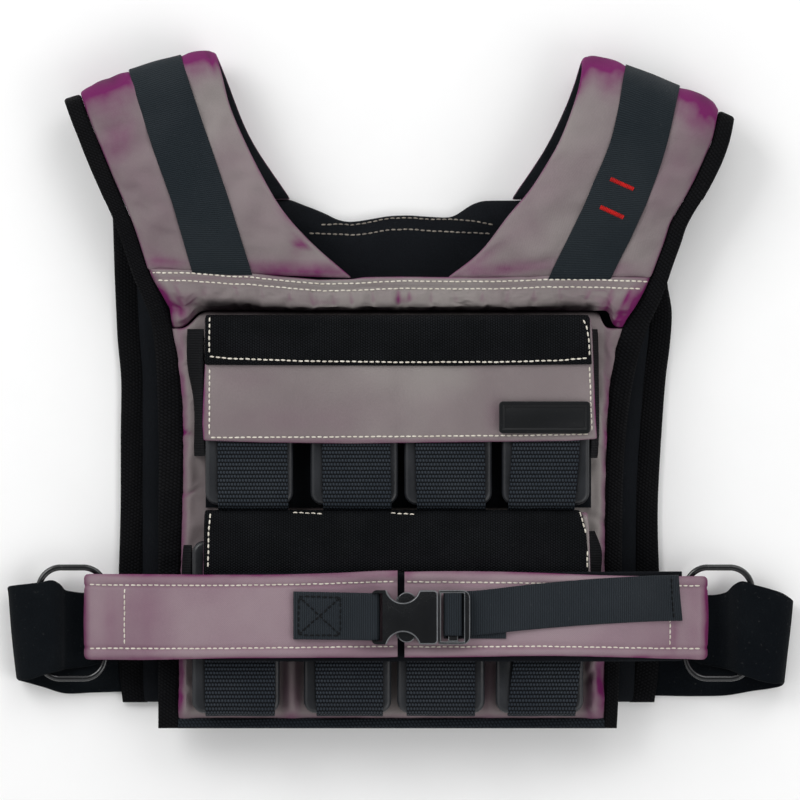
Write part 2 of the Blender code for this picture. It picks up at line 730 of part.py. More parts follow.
def build_front_tapes():
    left_tape = []
    right_tape = []
    z = FRONT_Z + (FRONT_THICK - FRONT_TAPE_THICK) / 2
    for row in FIELD_ROWS[::-1]:
        y = HEM - row.down * FRONT_LENGTH
        left, right, left_wide, right_wide = field_edges(y)
        left_tape.append(level_stop(left - GAP - left_wide, left - GAP, y, z, FRONT_TAPE_THICK))
        right_tape.append(level_stop(right + GAP, right + GAP + right_wide, y, z, FRONT_TAPE_THICK))
    # The side tapes stop where the straps' own tapes start
    left_row, right_row = LEFT_FRONT[0], RIGHT_FRONT[0]
    left_top = HEM + left_row.left_y * STRAP_RISE - GAP
    right_top = HEM + right_row.right_y * STRAP_RISE - GAP
    left_tape[-1] = tape_end(left_tape[-2], left_tape[-1], left_top)
    right_tape[-1] = tape_end(right_tape[-2], right_tape[-1], right_top)
    ribbon("front_binding_left", "edge_tape", left_tape, TAPE_SECTION, flat_under=True)
    ribbon("front_binding_right", "edge_tape", right_tape, TAPE_SECTION, flat_under=True)
    foot = HEM - FRONT_LENGTH
    bottom = []
    for y in (foot, foot + BOTTOM_TAPE_WIDTH * 0.5, foot + BOTTOM_TAPE_WIDTH - GAP):
        left, right, _, _ = field_edges(y)
        bottom.append(level_stop(left + GAP, right - GAP, y, z, FRONT_TAPE_THICK))
    ribbon("front_binding_bottom", "edge_tape", bottom, SOFT_SECTION, flat_under=True)


def tape_end(low, high, y):
    # The last stop moved along its tape to this height
    part = (y - low.left.y) / (high.left.y - low.left.y)
    return Stop(low.left.lerp(high.left, part), low.right.lerp(high.right, part), high.thick)


def flap_points(root, drop_to, level, radius, foot):
    # (y, z) points of a flap: up from the panel at its root, round a bend and level to its free edge
    bend = arc(root - radius, level - radius, radius, 0, 90, 3)
    return [(root, foot)] + bend + [((root - radius + drop_to) / 2, level), (drop_to, level)]


def build_row(row, pockets, middle_x, root_drop, tuck, seat, first_number):
    # One row: weights in their loops, the flap over them and its hook band
    root = HEM - root_drop
    weight_top = root - tuck
    weight_foot = weight_top - WEIGHT_LENGTH
    for number, pocket in enumerate(pockets, first_number):
        x = pocket.weight * PITCH
        middle = (x, (weight_top + weight_foot) / 2)
        outline = rounded_outline(middle, WEIGHT_WIDTH, WEIGHT_LENGTH, WEIGHT_CORNER, 2)
        bevelled_block(f"weight_{number}", "cast_iron", outline, seat, seat + WEIGHT_THICK, WEIGHT_EDGE)
        over = seat + WEIGHT_THICK + GAP + LOOP_THICK / 2
        end = weight_foot - GAP - LOOP_THICK / 2
        bend = arc(end + LOOP_BEND, over - LOOP_BEND, LOOP_BEND, 90, 180, 3)
        points = [(weight_top - LOOP_START, over), (weight_foot + WEIGHT_LENGTH / 3, over)]
        points += bend + [(end, seat + LOOP_THICK)]
        half = LOOP_WIDTH / 2
        loop_x = pocket.loop * PITCH
        stops = down_stops(points, loop_x - half, loop_x + half, LOOP_THICK)
        ribbon(f"weight_loop_{number}", "webbing", stops, FLAT_SECTION)
    flap_level = seat + WEIGHT_THICK + LOOP_THICK + 2 * GAP + FLAP_THICK / 2
    away = (FLAP_THICK + HOOK_BAND_THICK) / 2 + GAP
    half = FLAP_WIDTH / 2
    foot = PANEL_TOP + 2 * GAP
    band_root = root - HOOK_BAND_THICK / 2
    flap_root = band_root - away
    points = flap_points(flap_root, root - FLAP_LENGTH, flap_level, FLAP_BEND, foot)
    stops = down_stops(points, middle_x - half, middle_x + half, FLAP_THICK)
    ribbon(row + "_flap", "grey_cloth", stops, SOFT_SECTION)
    points = flap_points(band_root, root - HOOK_BAND_LENGTH, flap_level + away, FLAP_BEND + away, foot)
    band_half = half - HOOK_BAND_MARGIN
    stops = down_stops(points, middle_x - band_half, middle_x + band_half, HOOK_BAND_THICK)
    ribbon(row + "_flap_band", "hook_fabric", stops, FLAT_SECTION)
    return flap_level + away + HOOK_BAND_THICK / 2


def build_tab(name, tab, root, seat):
    # A pocket's dark side wall, leaning from the panel up to the weights' side
    inner = tab.weight * PITCH + tab.side * (WEIGHT_WIDTH / 2 + TAB_THICK / 2 + 2 * GAP)
    outer = inner + tab.side * TAB_SPREAD * tab.spread
    low = PANEL_TOP + GAP + TAB_THICK / 2
    high = seat + WEIGHT_THICK * TAB_RISE
    ends = sorted(((outer, low), (inner, high)))
    stops = []
    for drop in (tab.to_drop, tab.from_drop):
        y = root - drop * FLAP_LENGTH
        left = Vector((ends[0][0], y, ends[0][1]))
        right = Vector((ends[1][0], y, ends[1][1]))
        stops.append(Stop(left, right, TAB_THICK))
    ribbon(name, "webbing", stops, FLAT_SECTION)


def build_tabs():
    for name, tab in UPPER_TABS.items():
        build_tab(name, tab, HEM - FLAP_DROP, UPPER_SEAT)
    for name, tab in LOWER_TABS.items():
        build_tab(name, tab, HEM - LOWER_FLAP_DROP, LOWER_SEAT)


def build_upper_backing():
    top = HEM - FLAP_DROP - UPPER_TUCK
    foot = top - WEIGHT_LENGTH - GAP - LOOP_THICK
    half = FLAP_WIDTH / 2 - FLAP_OVERHANG
    z = PANEL_TOP + GAP + BACKING_THICK / 2
    left, right = UPPER_FLAP_X - half, UPPER_FLAP_X + half
    stops = down_stops([(foot, z), (top, z)], left, right, BACKING_THICK)
    ribbon("upper_backing", "black_cloth", stops, FLAT_SECTION)


def build_patch(level):
    middle = (PATCH_X, HEM - FLAP_DROP - PATCH_DROP)
    outline = rounded_outline(middle, PATCH_WIDTH, PATCH_HEIGHT, PATCH_CORNER, 2)
    bm = bmesh.new()
    floor = bm.faces.new([bm.verts.new((x, y, level)) for x, y in outline])
    grown = bmesh.ops.extrude_face_region(bm, geom=[floor])["geom"]
    top = [item for item in grown if isinstance(item, bmesh.types.BMFace)][0]
    bmesh.ops.translate(bm, vec=(0, 0, PATCH_THICK), verts=list(top.verts))
    bmesh.ops.inset_individual(bm, faces=[top], thickness=PATCH_RIM)
    bmesh.ops.inset_individual(bm, faces=[top], thickness=PATCH_RECESS)
    bmesh.ops.translate(bm, vec=(0, 0, -PATCH_RECESS), verts=list(top.verts))
    add_object("label_patch", "patch_rubber", bm, sharp=30)


def belt_side(side):
    # Where one belt half leaves its level stretch, and the middle of the bend round its ring
    left, right, left_tape, right_tape = field_edges(BELT_Y)
    bend = BELT_END_THICK + RING_PLAY + RING_WIRE / 2
    level = LOWER_FLAP_X + side * (FLAP_WIDTH / 2 + BELT_FLAT_MARGIN)
    if side < 0:
        end = left - left_tape - BELT_REACH_LEFT
    else:
        end = right + right_tape + BELT_REACH_RIGHT
    return level, end - side * bend


def belt_points(side, split, belt_z):
    # (x, z) points of one belt half, from the middle out, round the ring's bar and back under itself
    level, turn = belt_side(side)
    radius = RING_WIRE / 2 + RING_PLAY + BELT_END_THICK / 2
    top = BAR_Z + radius
    points = [(split, belt_z), ((split + level) / 2, belt_z)]
    for row in BELT_ROWS:
        points.append((level + (turn - level) * row.past, top + (belt_z - top) * row.height))
    if side > 0:
        points += arc(turn, BAR_Z, radius, 90, -90, 6)[1:]
    else:
        points += arc(turn, BAR_Z, radius, 90, 270, 6)[1:]
    points.append((turn - side * BELT_LAP * 0.55, BAR_Z - radius))
    points.append((turn - side * BELT_LAP, BAR_Z - radius * 0.35))
    return points


def build_belt(side, name, belt_z):
    split = BELT_SPLIT_X + side * BELT_SPLIT / 2
    points = belt_points(side, split, belt_z)
    thick_count = 2 + len(BELT_ROWS) // 2
    stops = across_stops(points, BELT_Y, BELT_WIDTH, BELT_END_THICK)
    stops = [
        Stop(stop.left, stop.right, BELT_THICK if k < thick_count else BELT_END_THICK)
        for k, stop in enumerate(stops)
    ]
    # The layer folded back under the end is pressed thin
    stops[-1] = Stop(stops[-1].left, stops[-1].right, BELT_END_THICK * 0.5)
    stops[-2] = Stop(stops[-2].left, stops[-2].right, BELT_END_THICK * 0.7)
    ribbon(name, "belt_cloth", stops, BELT_SECTION)
    return points


def build_belt_strip(belt_z, right_points):
    # The black strip behind both halves, which follows the right half down
    down = (BELT_THICK + BELT_STRIP_THICK) / 2 + GAP
    left_end = belt_side(-1)[0] + BELT_STRIP_START
    flat = right_points[2:7]
    points = [(left_end, belt_z - down)]
    for before, here, after in zip([right_points[1]] + flat, flat, flat[1:]):
        slope = Vector((after[0] - before[0], after[1] - before[1])).normalized()
        points.append((here[0] - slope.y * -down, here[1] - slope.x * down))
    stops = across_stops(points, BELT_Y, BELT_STRIP_WIDTH, BELT_STRIP_THICK)
    ribbon("belt_backing", "black_cloth", stops, FLAT_SECTION)


def ring_middle(side):
    _, turn = belt_side(side)
    bend = BELT_END_THICK + RING_PLAY + RING_WIRE / 2
    return turn + side * (bend + RING_OUT)


def build_ring(name, side):
    middle = (ring_middle(side), RING_Y)
    wide = RING_WIDTH - RING_WIRE
    tall = RING_HEIGHT - RING_WIRE
    outline = rounded_outline(middle, wide, tall, RING_CORNER, 5)
    curve = bpy.data.curves.new(name, "CURVE")
    curve.dimensions = "3D"
    curve.bevel_depth = RING_WIRE / 2
    curve.bevel_resolution = 2
    curve.materials.append(material("ring_metal"))
    spline = curve.splines.new("POLY")
    spline.points.add(len(outline) - 1)
    for spot, (x, y) in zip(spline.points, outline):
        spot.co = (x, y, BAR_Z, 1)
    spline.use_cyclic_u = True
    spline.use_smooth = True
    made = bpy.data.objects.new(name, curve)
    bpy.context.scene.collection.objects.link(made)


def build_side_strap(name, side, reach):
    # From the back's edge out along the floor, back over the ring's outer bar and down through the ring
    edges = back_edges(BELT_Y)
    start = edges[0 if side < 0 else 1] + side * GAP
    bar = ring_middle(side) + side * (RING_WIDTH - RING_WIRE) / 2
    low = SIDE_STRAP_THICK / 2
    high = BAR_Z + RING_WIRE / 2 + 2 * GAP + low
    rest = low + SIDE_STRAP_THICK + GAP
    radius = (high - low) / 2
    turn = start + side * (reach - radius - low)
    points = [(start, low), ((start + turn) / 2, low)]
    points += arc(turn, low + radius, radius, -90, 90, SIDE_TURN_STEPS)
    if side < 0:
        points[2:] = [(2 * turn - x, z) for x, z in points[2:]]
    clear = RING_WIRE / 2 + low
    points += [(bar - side * clear * row.past, rest + (high - rest) * row.height) for row in RING_ROWS]
    stops = []
    for k, (x, z) in enumerate(points):
        along = k / (len(points) - 1)
        half = SIDE_STRAP_WIDTH * between(SIDE_ROWS, along, "wide") / 2
        y = BELT_Y - SIDE_SINK * between(SIDE_ROWS, along, "sink")
        stops.append(Stop(Vector((x, y - half, z)), Vector((x, y + half, z)), SIDE_STRAP_THICK))
    ribbon(name, "hook_fabric", stops, FLAT_SECTION)


def mirrored(points):
    return [(x, -y) for x, y in reversed(points)]


def placed(points):
    return [(BUCKLE_X + x, BUCKLE_Y + y) for x, y in points]


def build_socket(middle_z):
    # The socket: a flat shell with arched side notches, a cavity for the plug, and a bar between two prongs
    half = WEB_WIDTH / 2 + GAP + BUCKLE_WALL
    body = SOCKET_LENGTH - SOCKET_BAR - SOCKET_SLOT
    chamfer = BUCKLE_WALL
    radius = (NOTCH_HALF**2 + NOTCH_DEPTH**2) / (2 * NOTCH_DEPTH)
    open_angle = math.degrees(math.asin(NOTCH_HALF / radius))
    notch = arc(-NOTCH_BACK, half - NOTCH_DEPTH + radius, radius, 270 - open_angle, 270 + open_angle, 8)
    upper = [(-SOCKET_LENGTH, half - chamfer), (-SOCKET_LENGTH + chamfer, half)]
    upper += notch + [(-chamfer, half), (0, half - chamfer)]
    outline = placed(upper + mirrored(upper))
    low = middle_z - SOCKET_THICK / 2
    socket = bevelled_block("buckle_socket", "buckle_plastic", outline, low, low + SOCKET_THICK, SOCKET_EDGE)
    tall = CAVITY_HEIGHT / 2
    window = WEB_WIDTH / 2 + GAP
    cavity = placed(box_outline(-CAVITY_DEPTH, -CAVITY_HALF, SOCKET_THICK, CAVITY_HALF))
    cut(socket, cavity, middle_z - tall, middle_z + tall)
    slot = placed(box_outline(-SOCKET_LENGTH + SOCKET_BAR, -window, -body, window))
    cut(socket, slot, middle_z - SOCKET_THICK, middle_z + SOCKET_THICK)
    bar_half = PLUG_THICK * 0.27
    bar_from, bar_to = -SOCKET_LENGTH - chamfer, -SOCKET_LENGTH + SOCKET_BAR + chamfer
    ends = placed(box_outline(bar_from, -window, bar_to, window))
    cut(socket, ends, middle_z + bar_half, middle_z + SOCKET_THICK)
    cut(socket, ends, middle_z - SOCKET_THICK, middle_z - bar_half)


def build_plug(middle_z):
    # The plug: a ladder frame for the webbing, with a tongue and two spring arms inside the socket
    half = WEB_WIDTH / 2 + GAP + BUCKLE_WALL
    inside = CAVITY_HALF - GAP
    frame = arc(PLUG_LENGTH - PLUG_ROUND, half - PLUG_ROUND, PLUG_ROUND, 0, 90, 3)
    arm = [(GAP, half), (GAP, inside)] + [(-row.back * ARM_LENGTH, row.across * inside) for row in ARM_ROWS]
    upper = frame + arm
    outline = placed(upper + mirrored(upper))
    low = middle_z - PLUG_THICK / 2
    plug = bevelled_block("buckle_plug", "buckle_plastic", outline, low, low + PLUG_THICK, PLUG_EDGE)
    window = WEB_WIDTH / 2 + GAP
    second = PLUG_RAIL + PLUG_SLOT + PLUG_BAR
    third = PLUG_LENGTH - 2 * PLUG_RAIL
    under, over = middle_z - PLUG_THICK, middle_z + PLUG_THICK
    cut(plug, placed(box_outline(PLUG_RAIL, -window, PLUG_RAIL + PLUG_SLOT, window)), under, over)
    cut(plug, placed(box_outline(second, -window, third, window)), under, over)
    # The ladder's bar lies lower than its rails
    trough = placed(box_outline(PLUG_RAIL, -window, third, window))
    cut(plug, trough, middle_z + PLUG_THICK * BAR_SHARE, over)


def build_buckle_webbing(belt_top, middle_z):
    # Sewn flat to the belt in two layers, its bend wraps the socket's bar
    low = belt_top + GAP + WEB_THICK / 2
    high = low + WEB_THICK + GAP
    bar_x = BUCKLE_X - SOCKET_LENGTH + SOCKET_BAR
    turn = bar_x - WEB_BEND_BACK
    end = -BOX_STITCH_END
    flat = turn - WEB_RISE
    points = [(end, low), (flat, low), (flat + WEB_RISE * 0.46, low + (middle_z - WEB_BEND - low) * 0.6)]
    points += arc(turn, middle_z, WEB_BEND, -90, 90, 6)
    points.append((bar_x - SOCKET_BAR - WEB_THICK, middle_z + WEB_BEND))
    points.append((flat + WEB_RISE * 0.385, high + (middle_z + WEB_BEND - high) * 0.55))
    points += [(flat, high), (end, high)]
    stops = across_stops(points, BUCKLE_Y, WEB_WIDTH, WEB_THICK)
    ribbon("buckle_webbing", "webbing", stops, FLAT_SECTION)


def build_tail(belt_top, middle_z, right_points):
    # From its sewn end under the plug, up over the ladder bar, down again and out over the belt
    low = belt_top + GAP + WEB_THICK / 2
    high = low + WEB_THICK + GAP
    over = middle_z + PLUG_THICK * BAR_SHARE + GAP + WEB_THICK / 2
    slot_in = BUCKLE_X + PLUG_RAIL + PLUG_SLOT / 2
    bar_from = BUCKLE_X + PLUG_RAIL + PLUG_SLOT
    bar_to = bar_from + PLUG_BAR
    rail = BUCKLE_X + PLUG_LENGTH - 2 * PLUG_RAIL
    slot_out = (bar_to + rail) / 2
    outer = BUCKLE_X + PLUG_LENGTH
    anchor = outer + ANCHOR_LENGTH
    corner = WEB_THICK * 1.2
    ease = WEB_THICK / 3
    points = [
        (anchor, low),
        (slot_in + corner, low),
        (slot_in + ease, low + ease),
        (slot_in, low + corner),
        (slot_in, over - corner - ease),
        (slot_in + ease, over - ease),
        (bar_from - GAP, over),
        (bar_to + GAP, over),
        (slot_out - ease, over - ease),
        (slot_out, over - corner - ease),
        (slot_out, high + corner),
        (slot_out + ease, high + ease),
        (rail, high),
        (anchor, high),
    ]
    height = BELT_THICK / 2 + GAP + WEB_THICK / 2
    end = outer + TAIL_LENGTH
    run = right_points[1:11]
    lifted = []
    for before, here, after in zip(run, run[1:], run[2:]):
        slope = Vector((after[0] - before[0], after[1] - before[1])).normalized()
        lifted.append((here[0] - slope.y * height, here[1] + slope.x * height))
    points.append((anchor + (lifted[0][0] - anchor) * 0.5, low + WEB_THICK * 0.4))
    points += [spot for spot in lifted if spot[0] < end]
    sinks = [-TAIL_DRIFT * max(0.0, (x - anchor) / (end - anchor)) for x, _ in points]
    stops = across_stops(points, BUCKLE_Y, WEB_WIDTH, WEB_THICK, sinks)
    ribbon("buckle_tail", "webbing", stops, FLAT_SECTION)


def build_belt_and_buckle(pocket_top):
    belt_z = pocket_top + 2 * GAP + BELT_STRIP_THICK + BELT_THICK / 2
    belt_top = belt_z + BELT_THICK / 2
    build_belt(-1, "belt_left", belt_z)
    right_points = build_belt(1, "belt_right", belt_z)
    build_belt_strip(belt_z, right_points)
    middle_z = belt_top + 3 * GAP + 2 * WEB_THICK + PLUG_THICK / 2
    build_socket(middle_z)
    build_plug(middle_z)
    build_buckle_webbing(belt_top, middle_z)
    build_tail(belt_top, middle_z, right_points)


def build_vest():
    build_back()
    build_front_panel()
    build_front_tapes()
    build_chest_band()
    build_strap("left", LEFT_FRONT, LEFT_BACK, LEFT_LEAN)
    build_strap("right", RIGHT_FRONT, RIGHT_BACK, RIGHT_LEAN)
    build_upper_backing()
    build_row("upper", UPPER_POCKETS, UPPER_FLAP_X, FLAP_DROP, UPPER_TUCK, UPPER_SEAT, 1)
    lower = (LOWER_FLAP_DROP, LOWER_TUCK, LOWER_SEAT)
    pocket_top = build_row("lower", LOWER_POCKETS, LOWER_FLAP_X, *lower, 5)
    build_tabs()
    build_patch(UPPER_SEAT + WEIGHT_THICK + LOOP_THICK + FLAP_THICK + 3 * GAP)
    build_belt_and_buckle(pocket_top)
    build_ring("ring_left", -1)
    build_ring("ring_right", 1)
    build_side_strap("side_strap_left", -1, SIDE_REACH_LEFT)
    build_side_strap("side_strap_right", 1, SIDE_REACH_RIGHT)


for old in list(bpy.data.objects):
    bpy.data.objects.remove(old)
build_vest()
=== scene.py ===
import math

import bmesh
import bpy
import numpy as np
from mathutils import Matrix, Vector
from mathutils.bvhtree import BVHTree


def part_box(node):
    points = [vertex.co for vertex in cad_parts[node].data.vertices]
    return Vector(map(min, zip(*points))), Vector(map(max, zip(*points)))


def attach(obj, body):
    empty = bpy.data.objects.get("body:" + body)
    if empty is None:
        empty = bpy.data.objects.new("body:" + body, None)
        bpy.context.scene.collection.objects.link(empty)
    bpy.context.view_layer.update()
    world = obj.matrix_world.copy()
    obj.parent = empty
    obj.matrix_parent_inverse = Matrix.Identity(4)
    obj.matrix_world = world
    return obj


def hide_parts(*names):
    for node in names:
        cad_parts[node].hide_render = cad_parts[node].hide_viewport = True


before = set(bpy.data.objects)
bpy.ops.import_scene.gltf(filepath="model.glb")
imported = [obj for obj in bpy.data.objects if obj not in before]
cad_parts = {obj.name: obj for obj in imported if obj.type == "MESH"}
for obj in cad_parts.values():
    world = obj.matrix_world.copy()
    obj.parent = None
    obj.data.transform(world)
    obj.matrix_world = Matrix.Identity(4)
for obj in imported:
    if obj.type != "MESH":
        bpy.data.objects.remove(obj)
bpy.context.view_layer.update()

mm = 0.001
pixel = 0.8  # one pixel of the photograph in millimetres, at the vest
middlePx, middlePy = 388, 460  # where the back panel's middle lies in the photograph
floorGap = 0.0003  # how far above the floor the lowest cloth stays, in metres


def seen(px, py, z=0.0):
    # A place in the photograph as a point in metres, z in millimetres
    return Vector(((px - middlePx) * pixel, (middlePy - py) * pixel, z)) * mm


def pixelsOf(spot):
    # The place in the photograph over which a point lies
    return spot.x / mm / pixel + middlePx, middlePy - spot.y / mm / pixel


def mix(a, b, share):
    return a + (b - a) * share


def smooth(share):
    share = min(1.0, max(0.0, share))
    return share * share * (3 - 2 * share)


def bump(x, middle, half):
    # A soft hump of height 1 that reaches half to each side
    away = abs(x - middle) / half
    return 0.0 if away >= 1 else (1 - away) ** 2 * (1 + 2 * away)


def humps(x, *parts):
    # Soft humps (height, middle, half) added up
    return sum(high * bump(x, middle, half) for high, middle, half in parts)


def wave(x, y, seed):
    # A slow uneven ripple between -1 and 1, always the same for the same place
    a = math.sin(x * 1.7 + seed * 2.1 + 1.3 * math.sin(y * 0.9 + seed))
    b = math.sin(x * 0.6 + y * 1.9 + seed * 3.7)
    c = math.sin(x * 3.1 - y * 1.1 + seed * 5.3)
    return (a + b + 0.6 * c) / 2.6


def ripple(high, x, y, seed):
    # A strip's lift in metres, so many waves along and up
    return lambda u, share, spot: high * wave(spot.x * x, spot.y * y, seed)


def evenly(points, step):
    # Points spaced evenly along a polyline, about step apart
    lengths = [0.0]
    for a, b in zip(points, points[1:]):
        lengths.append(lengths[-1] + (b - a).length)
    count = max(1, round(lengths[-1] / step))
    found, i = [], 0
    for k in range(count + 1):
        goal = lengths[-1] * k / count
        while i < len(points) - 2 and lengths[i + 1] < goal:
            i += 1
        span = lengths[i + 1] - lengths[i] or 1
        found.append(points[i].lerp(points[i + 1], min(1.0, (goal - lengths[i]) / span)))
    return found


def fromTable(table, key, column, keyColumn=0):
    # The column's value at this key, straight between the table's rows
    rows = sorted(table, key=lambda row: row[keyColumn])
    key = min(max(key, rows[0][keyColumn]), rows[-1][keyColumn])
    for low, high in zip(rows, rows[1:]):
        if key <= high[keyColumn]:
            break
    part = (key - low[keyColumn]) / (high[keyColumn] - low[keyColumn])
    return mix(low[column], high[column], part)


def acrossRow(table, py, u, inset=0.0):
    # A share of the way from the left to the right edge at this row
    return mix(fromTable(table, py, 1) + inset, fromTable(table, py, 2) - inset, u)


def finished(name, bm, materials, slot, smoothAngle=60):
    # Makes the object from its mesh with its finishes, and rides it on the vest
    mesh = bpy.data.meshes.new(name)
    bm.to_mesh(mesh)
    bm.free()
    for item in materials:
        mesh.materials.append(item)
    mesh.shade_smooth()
    mesh.set_sharp_from_angle(angle=math.radians(smoothAngle))
    made = bpy.data.objects.new(name, mesh)
    bpy.context.scene.collection.objects.link(made)
    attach(made, "root")
    return made


def wire(tree, node, wires):
    # Links or sets a node's inputs
    for name, value in wires.items():
        if isinstance(value, bpy.types.NodeSocket):
            tree.links.new(value, node.inputs[name])
        else:
            node.inputs[name].default_value = value


def put(tree, kind, wires=None, **settings):
    # One node with its settings and inputs
    made = tree.nodes.new(kind)
    for name, value in settings.items():
        setattr(made, name, value)
    wire(tree, made, wires or {})
    return made


def sums(tree, operation, *values):
    return put(tree, "ShaderNodeMath", dict(enumerate(values)), operation=operation).outputs[0]


def noise(tree, where, scale, detail, **more):
    wires = {"Vector": where, "Scale": scale, "Detail": detail, **more}
    return put(tree, "ShaderNodeTexNoise", wires).outputs[0]


def blendColour(tree, share, a, b, kind="MIX"):
    made = put(tree, "ShaderNodeMix", {0: share, 6: a, 7: b}, data_type="RGBA", blend_type=kind)
    return made.outputs[2]


def spread(tree, value, low, high, to=(0.0, 1.0)):
    wires = {"Value": value, "From Min": low, "From Max": high, "To Min": to[0], "To Max": to[1]}
    return put(tree, "ShaderNodeMapRange", wires, interpolation_type="SMOOTHSTEP").outputs[0]


def newGroup(name, numbers, tones, outputs):
    # A node group that takes a place, numbers and tones, and gives numbers and one Color
    group = bpy.data.node_groups.new(name, "ShaderNodeTree")
    inputs = {"Place": "NodeSocketVector", **dict.fromkeys(numbers, "NodeSocketFloat")}
    inputs.update(dict.fromkeys(tones, "NodeSocketColor"))
    for label, kind in inputs.items():
        group.interface.new_socket(label, in_out="INPUT", socket_type=kind)
    for label in outputs:
        kind = "NodeSocketColor" if label == "Color" else "NodeSocketFloat"
        group.interface.new_socket(label, in_out="OUTPUT", socket_type=kind)
    return group, put(group, "NodeGroupInput").outputs, put(group, "NodeGroupOutput")


def makeWeaveGroup():
    # Plain weave: warp and weft cross over and under, threads counted per metre
    group, given, out = newGroup("plainWeave", ["Across", "Down"], [], ["Height"])
    parts = put(group, "ShaderNodeSeparateXYZ", {0: given["Place"]}).outputs
    sines = []
    for axis, count in ((0, "Across"), (1, "Down")):
        turns = sums(group, "MULTIPLY", parts[axis], given[count])
        sines.append(sums(group, "SINE", sums(group, "MULTIPLY", turns, math.pi)))
    crossing = sums(group, "MULTIPLY", sines[0], sines[1])
    wire(group, out, {"Height": sums(group, "MULTIPLY_ADD", crossing, 0.5, 0.5)})
    return group


def makeRibGroup():
    # Webbing: ribs across the strap, each a row of short bars staggered from the next
    group, given, out = newGroup("ribWeave", ["Ribs", "Bars", "Split", "Reach"], [], ["Height", "Groove"])
    parts = put(group, "ShaderNodeSeparateXYZ", {0: given["Place"]}).outputs
    rows = sums(group, "MULTIPLY", parts[1], given["Ribs"])
    hill = sums(group, "ABSOLUTE", sums(group, "SINE", sums(group, "MULTIPLY", rows, math.pi)))
    odd = sums(group, "MULTIPLY", sums(group, "MODULO", sums(group, "FLOOR", rows), 2.0), 0.5)
    bars = sums(group, "ADD", sums(group, "MULTIPLY", parts[0], given["Bars"]), odd)
    bar = sums(group, "ABSOLUTE", sums(group, "SINE", sums(group, "MULTIPLY", bars, math.pi)))
    cut = sums(group, "MULTIPLY", sums(group, "SUBTRACT", 1.0, bar), given["Split"])
    height = sums(group, "MULTIPLY", sums(group, "POWER", hill, 0.7), sums(group, "SUBTRACT", 1.0, cut))
    reached = sums(group, "DIVIDE", height, given["Reach"])
    wire(group, out, {"Height": height, "Groove": spread(group, reached, 0.08, 1.0, (1.0, 0.0))})
    return group


def makeLintGroup():
    # Uneven tone at two scales, from worn and faded cloth, with a few specks of lint
    group, given, out = newGroup("lint", ["Size", "Specks"], [], ["Tone", "Specks"])
    wide = noise(group, given["Place"], given["Size"], 5.0)
    fine = noise(group, given["Place"], 900.0, 2.0)
    both = sums(group, "MULTIPLY_ADD", fine, 0.35, wide)
    dots = spread(group, noise(group, given["Place"], 420.0, 3.0), 0.66, 0.74)
    specks = sums(group, "MULTIPLY", dots, given["Specks"])
    wire(group, out, {"Tone": spread(group, both, 0.42, 0.95), "Specks": specks})
    return group


def makeShotGroup():
    # Shot cloth: grey on top, with painted sheen and shade: wine red where it turns away and where its tint
    # paints it, near black in painted creases
    group, given, out = newGroup("shotCloth", ["Rise", "Tint"], ["Grey", "Light", "Wine"], ["Color"])
    cast = spread(group, noise(group, given["Place"], 9.0, 3.0), 0.42, 0.68)
    body = blendColour(group, sums(group, "MULTIPLY", cast, 0.5), given["Grey"], given["Light"])
    # Painted sheen and shade: wine red where the surface turns away from straight up
    turned = spread(group, given["Rise"], 0.35, 0.93, (0.45, 0.0))
    loose = spread(group, noise(group, given["Place"], 60.0, 2.0), 0.3, 0.7, (0.75, 1.15))
    wine = sums(group, "MULTIPLY", sums(group, "ADD", turned, given["Tint"]), loose)
    share = put(group, "ShaderNodeClamp", {"Value": wine, "Max": 0.95}).outputs[0]
    # A tint past 1 or below 0 is a crease or a roll that no light reaches
    creaseShade = spread(group, given["Tint"], 1.0, 1.9, (0.0, 0.95))
    deep = blendColour(group, creaseShade, given["Wine"], (0.006, 0.003, 0.005, 1))
    lit = blendColour(group, share, body, deep)
    rolled = spread(group, given["Tint"], -1.0, 0.0, (0.97, 0.0))
    wire(group, out, {"Color": blendColour(group, rolled, lit, (0.008, 0.006, 0.007, 1))})
    return group


weaveGroup, ribGroup = makeWeaveGroup(), makeRibGroup()
lintGroup, shotGroup = makeLintGroup(), makeShotGroup()


def newFinish(name):
    material = bpy.data.materials.new(name)
    material.use_nodes = True
    tree = material.node_tree
    shader = tree.nodes["Principled BSDF"]
    places = put(tree, "ShaderNodeTexCoord").outputs
    return material, tree, shader, places


def use(tree, group, **wires):
    return put(tree, "ShaderNodeGroup", wires, node_tree=group).outputs


def raised(tree, shader, height, depth, strength):
    # Turns a height into the shader's normal, depth in metres
    made = put(tree, "ShaderNodeBump", {"Height": height, "Distance": depth, "Strength": strength})
    wire(tree, shader, {"Normal": made.outputs[0]})


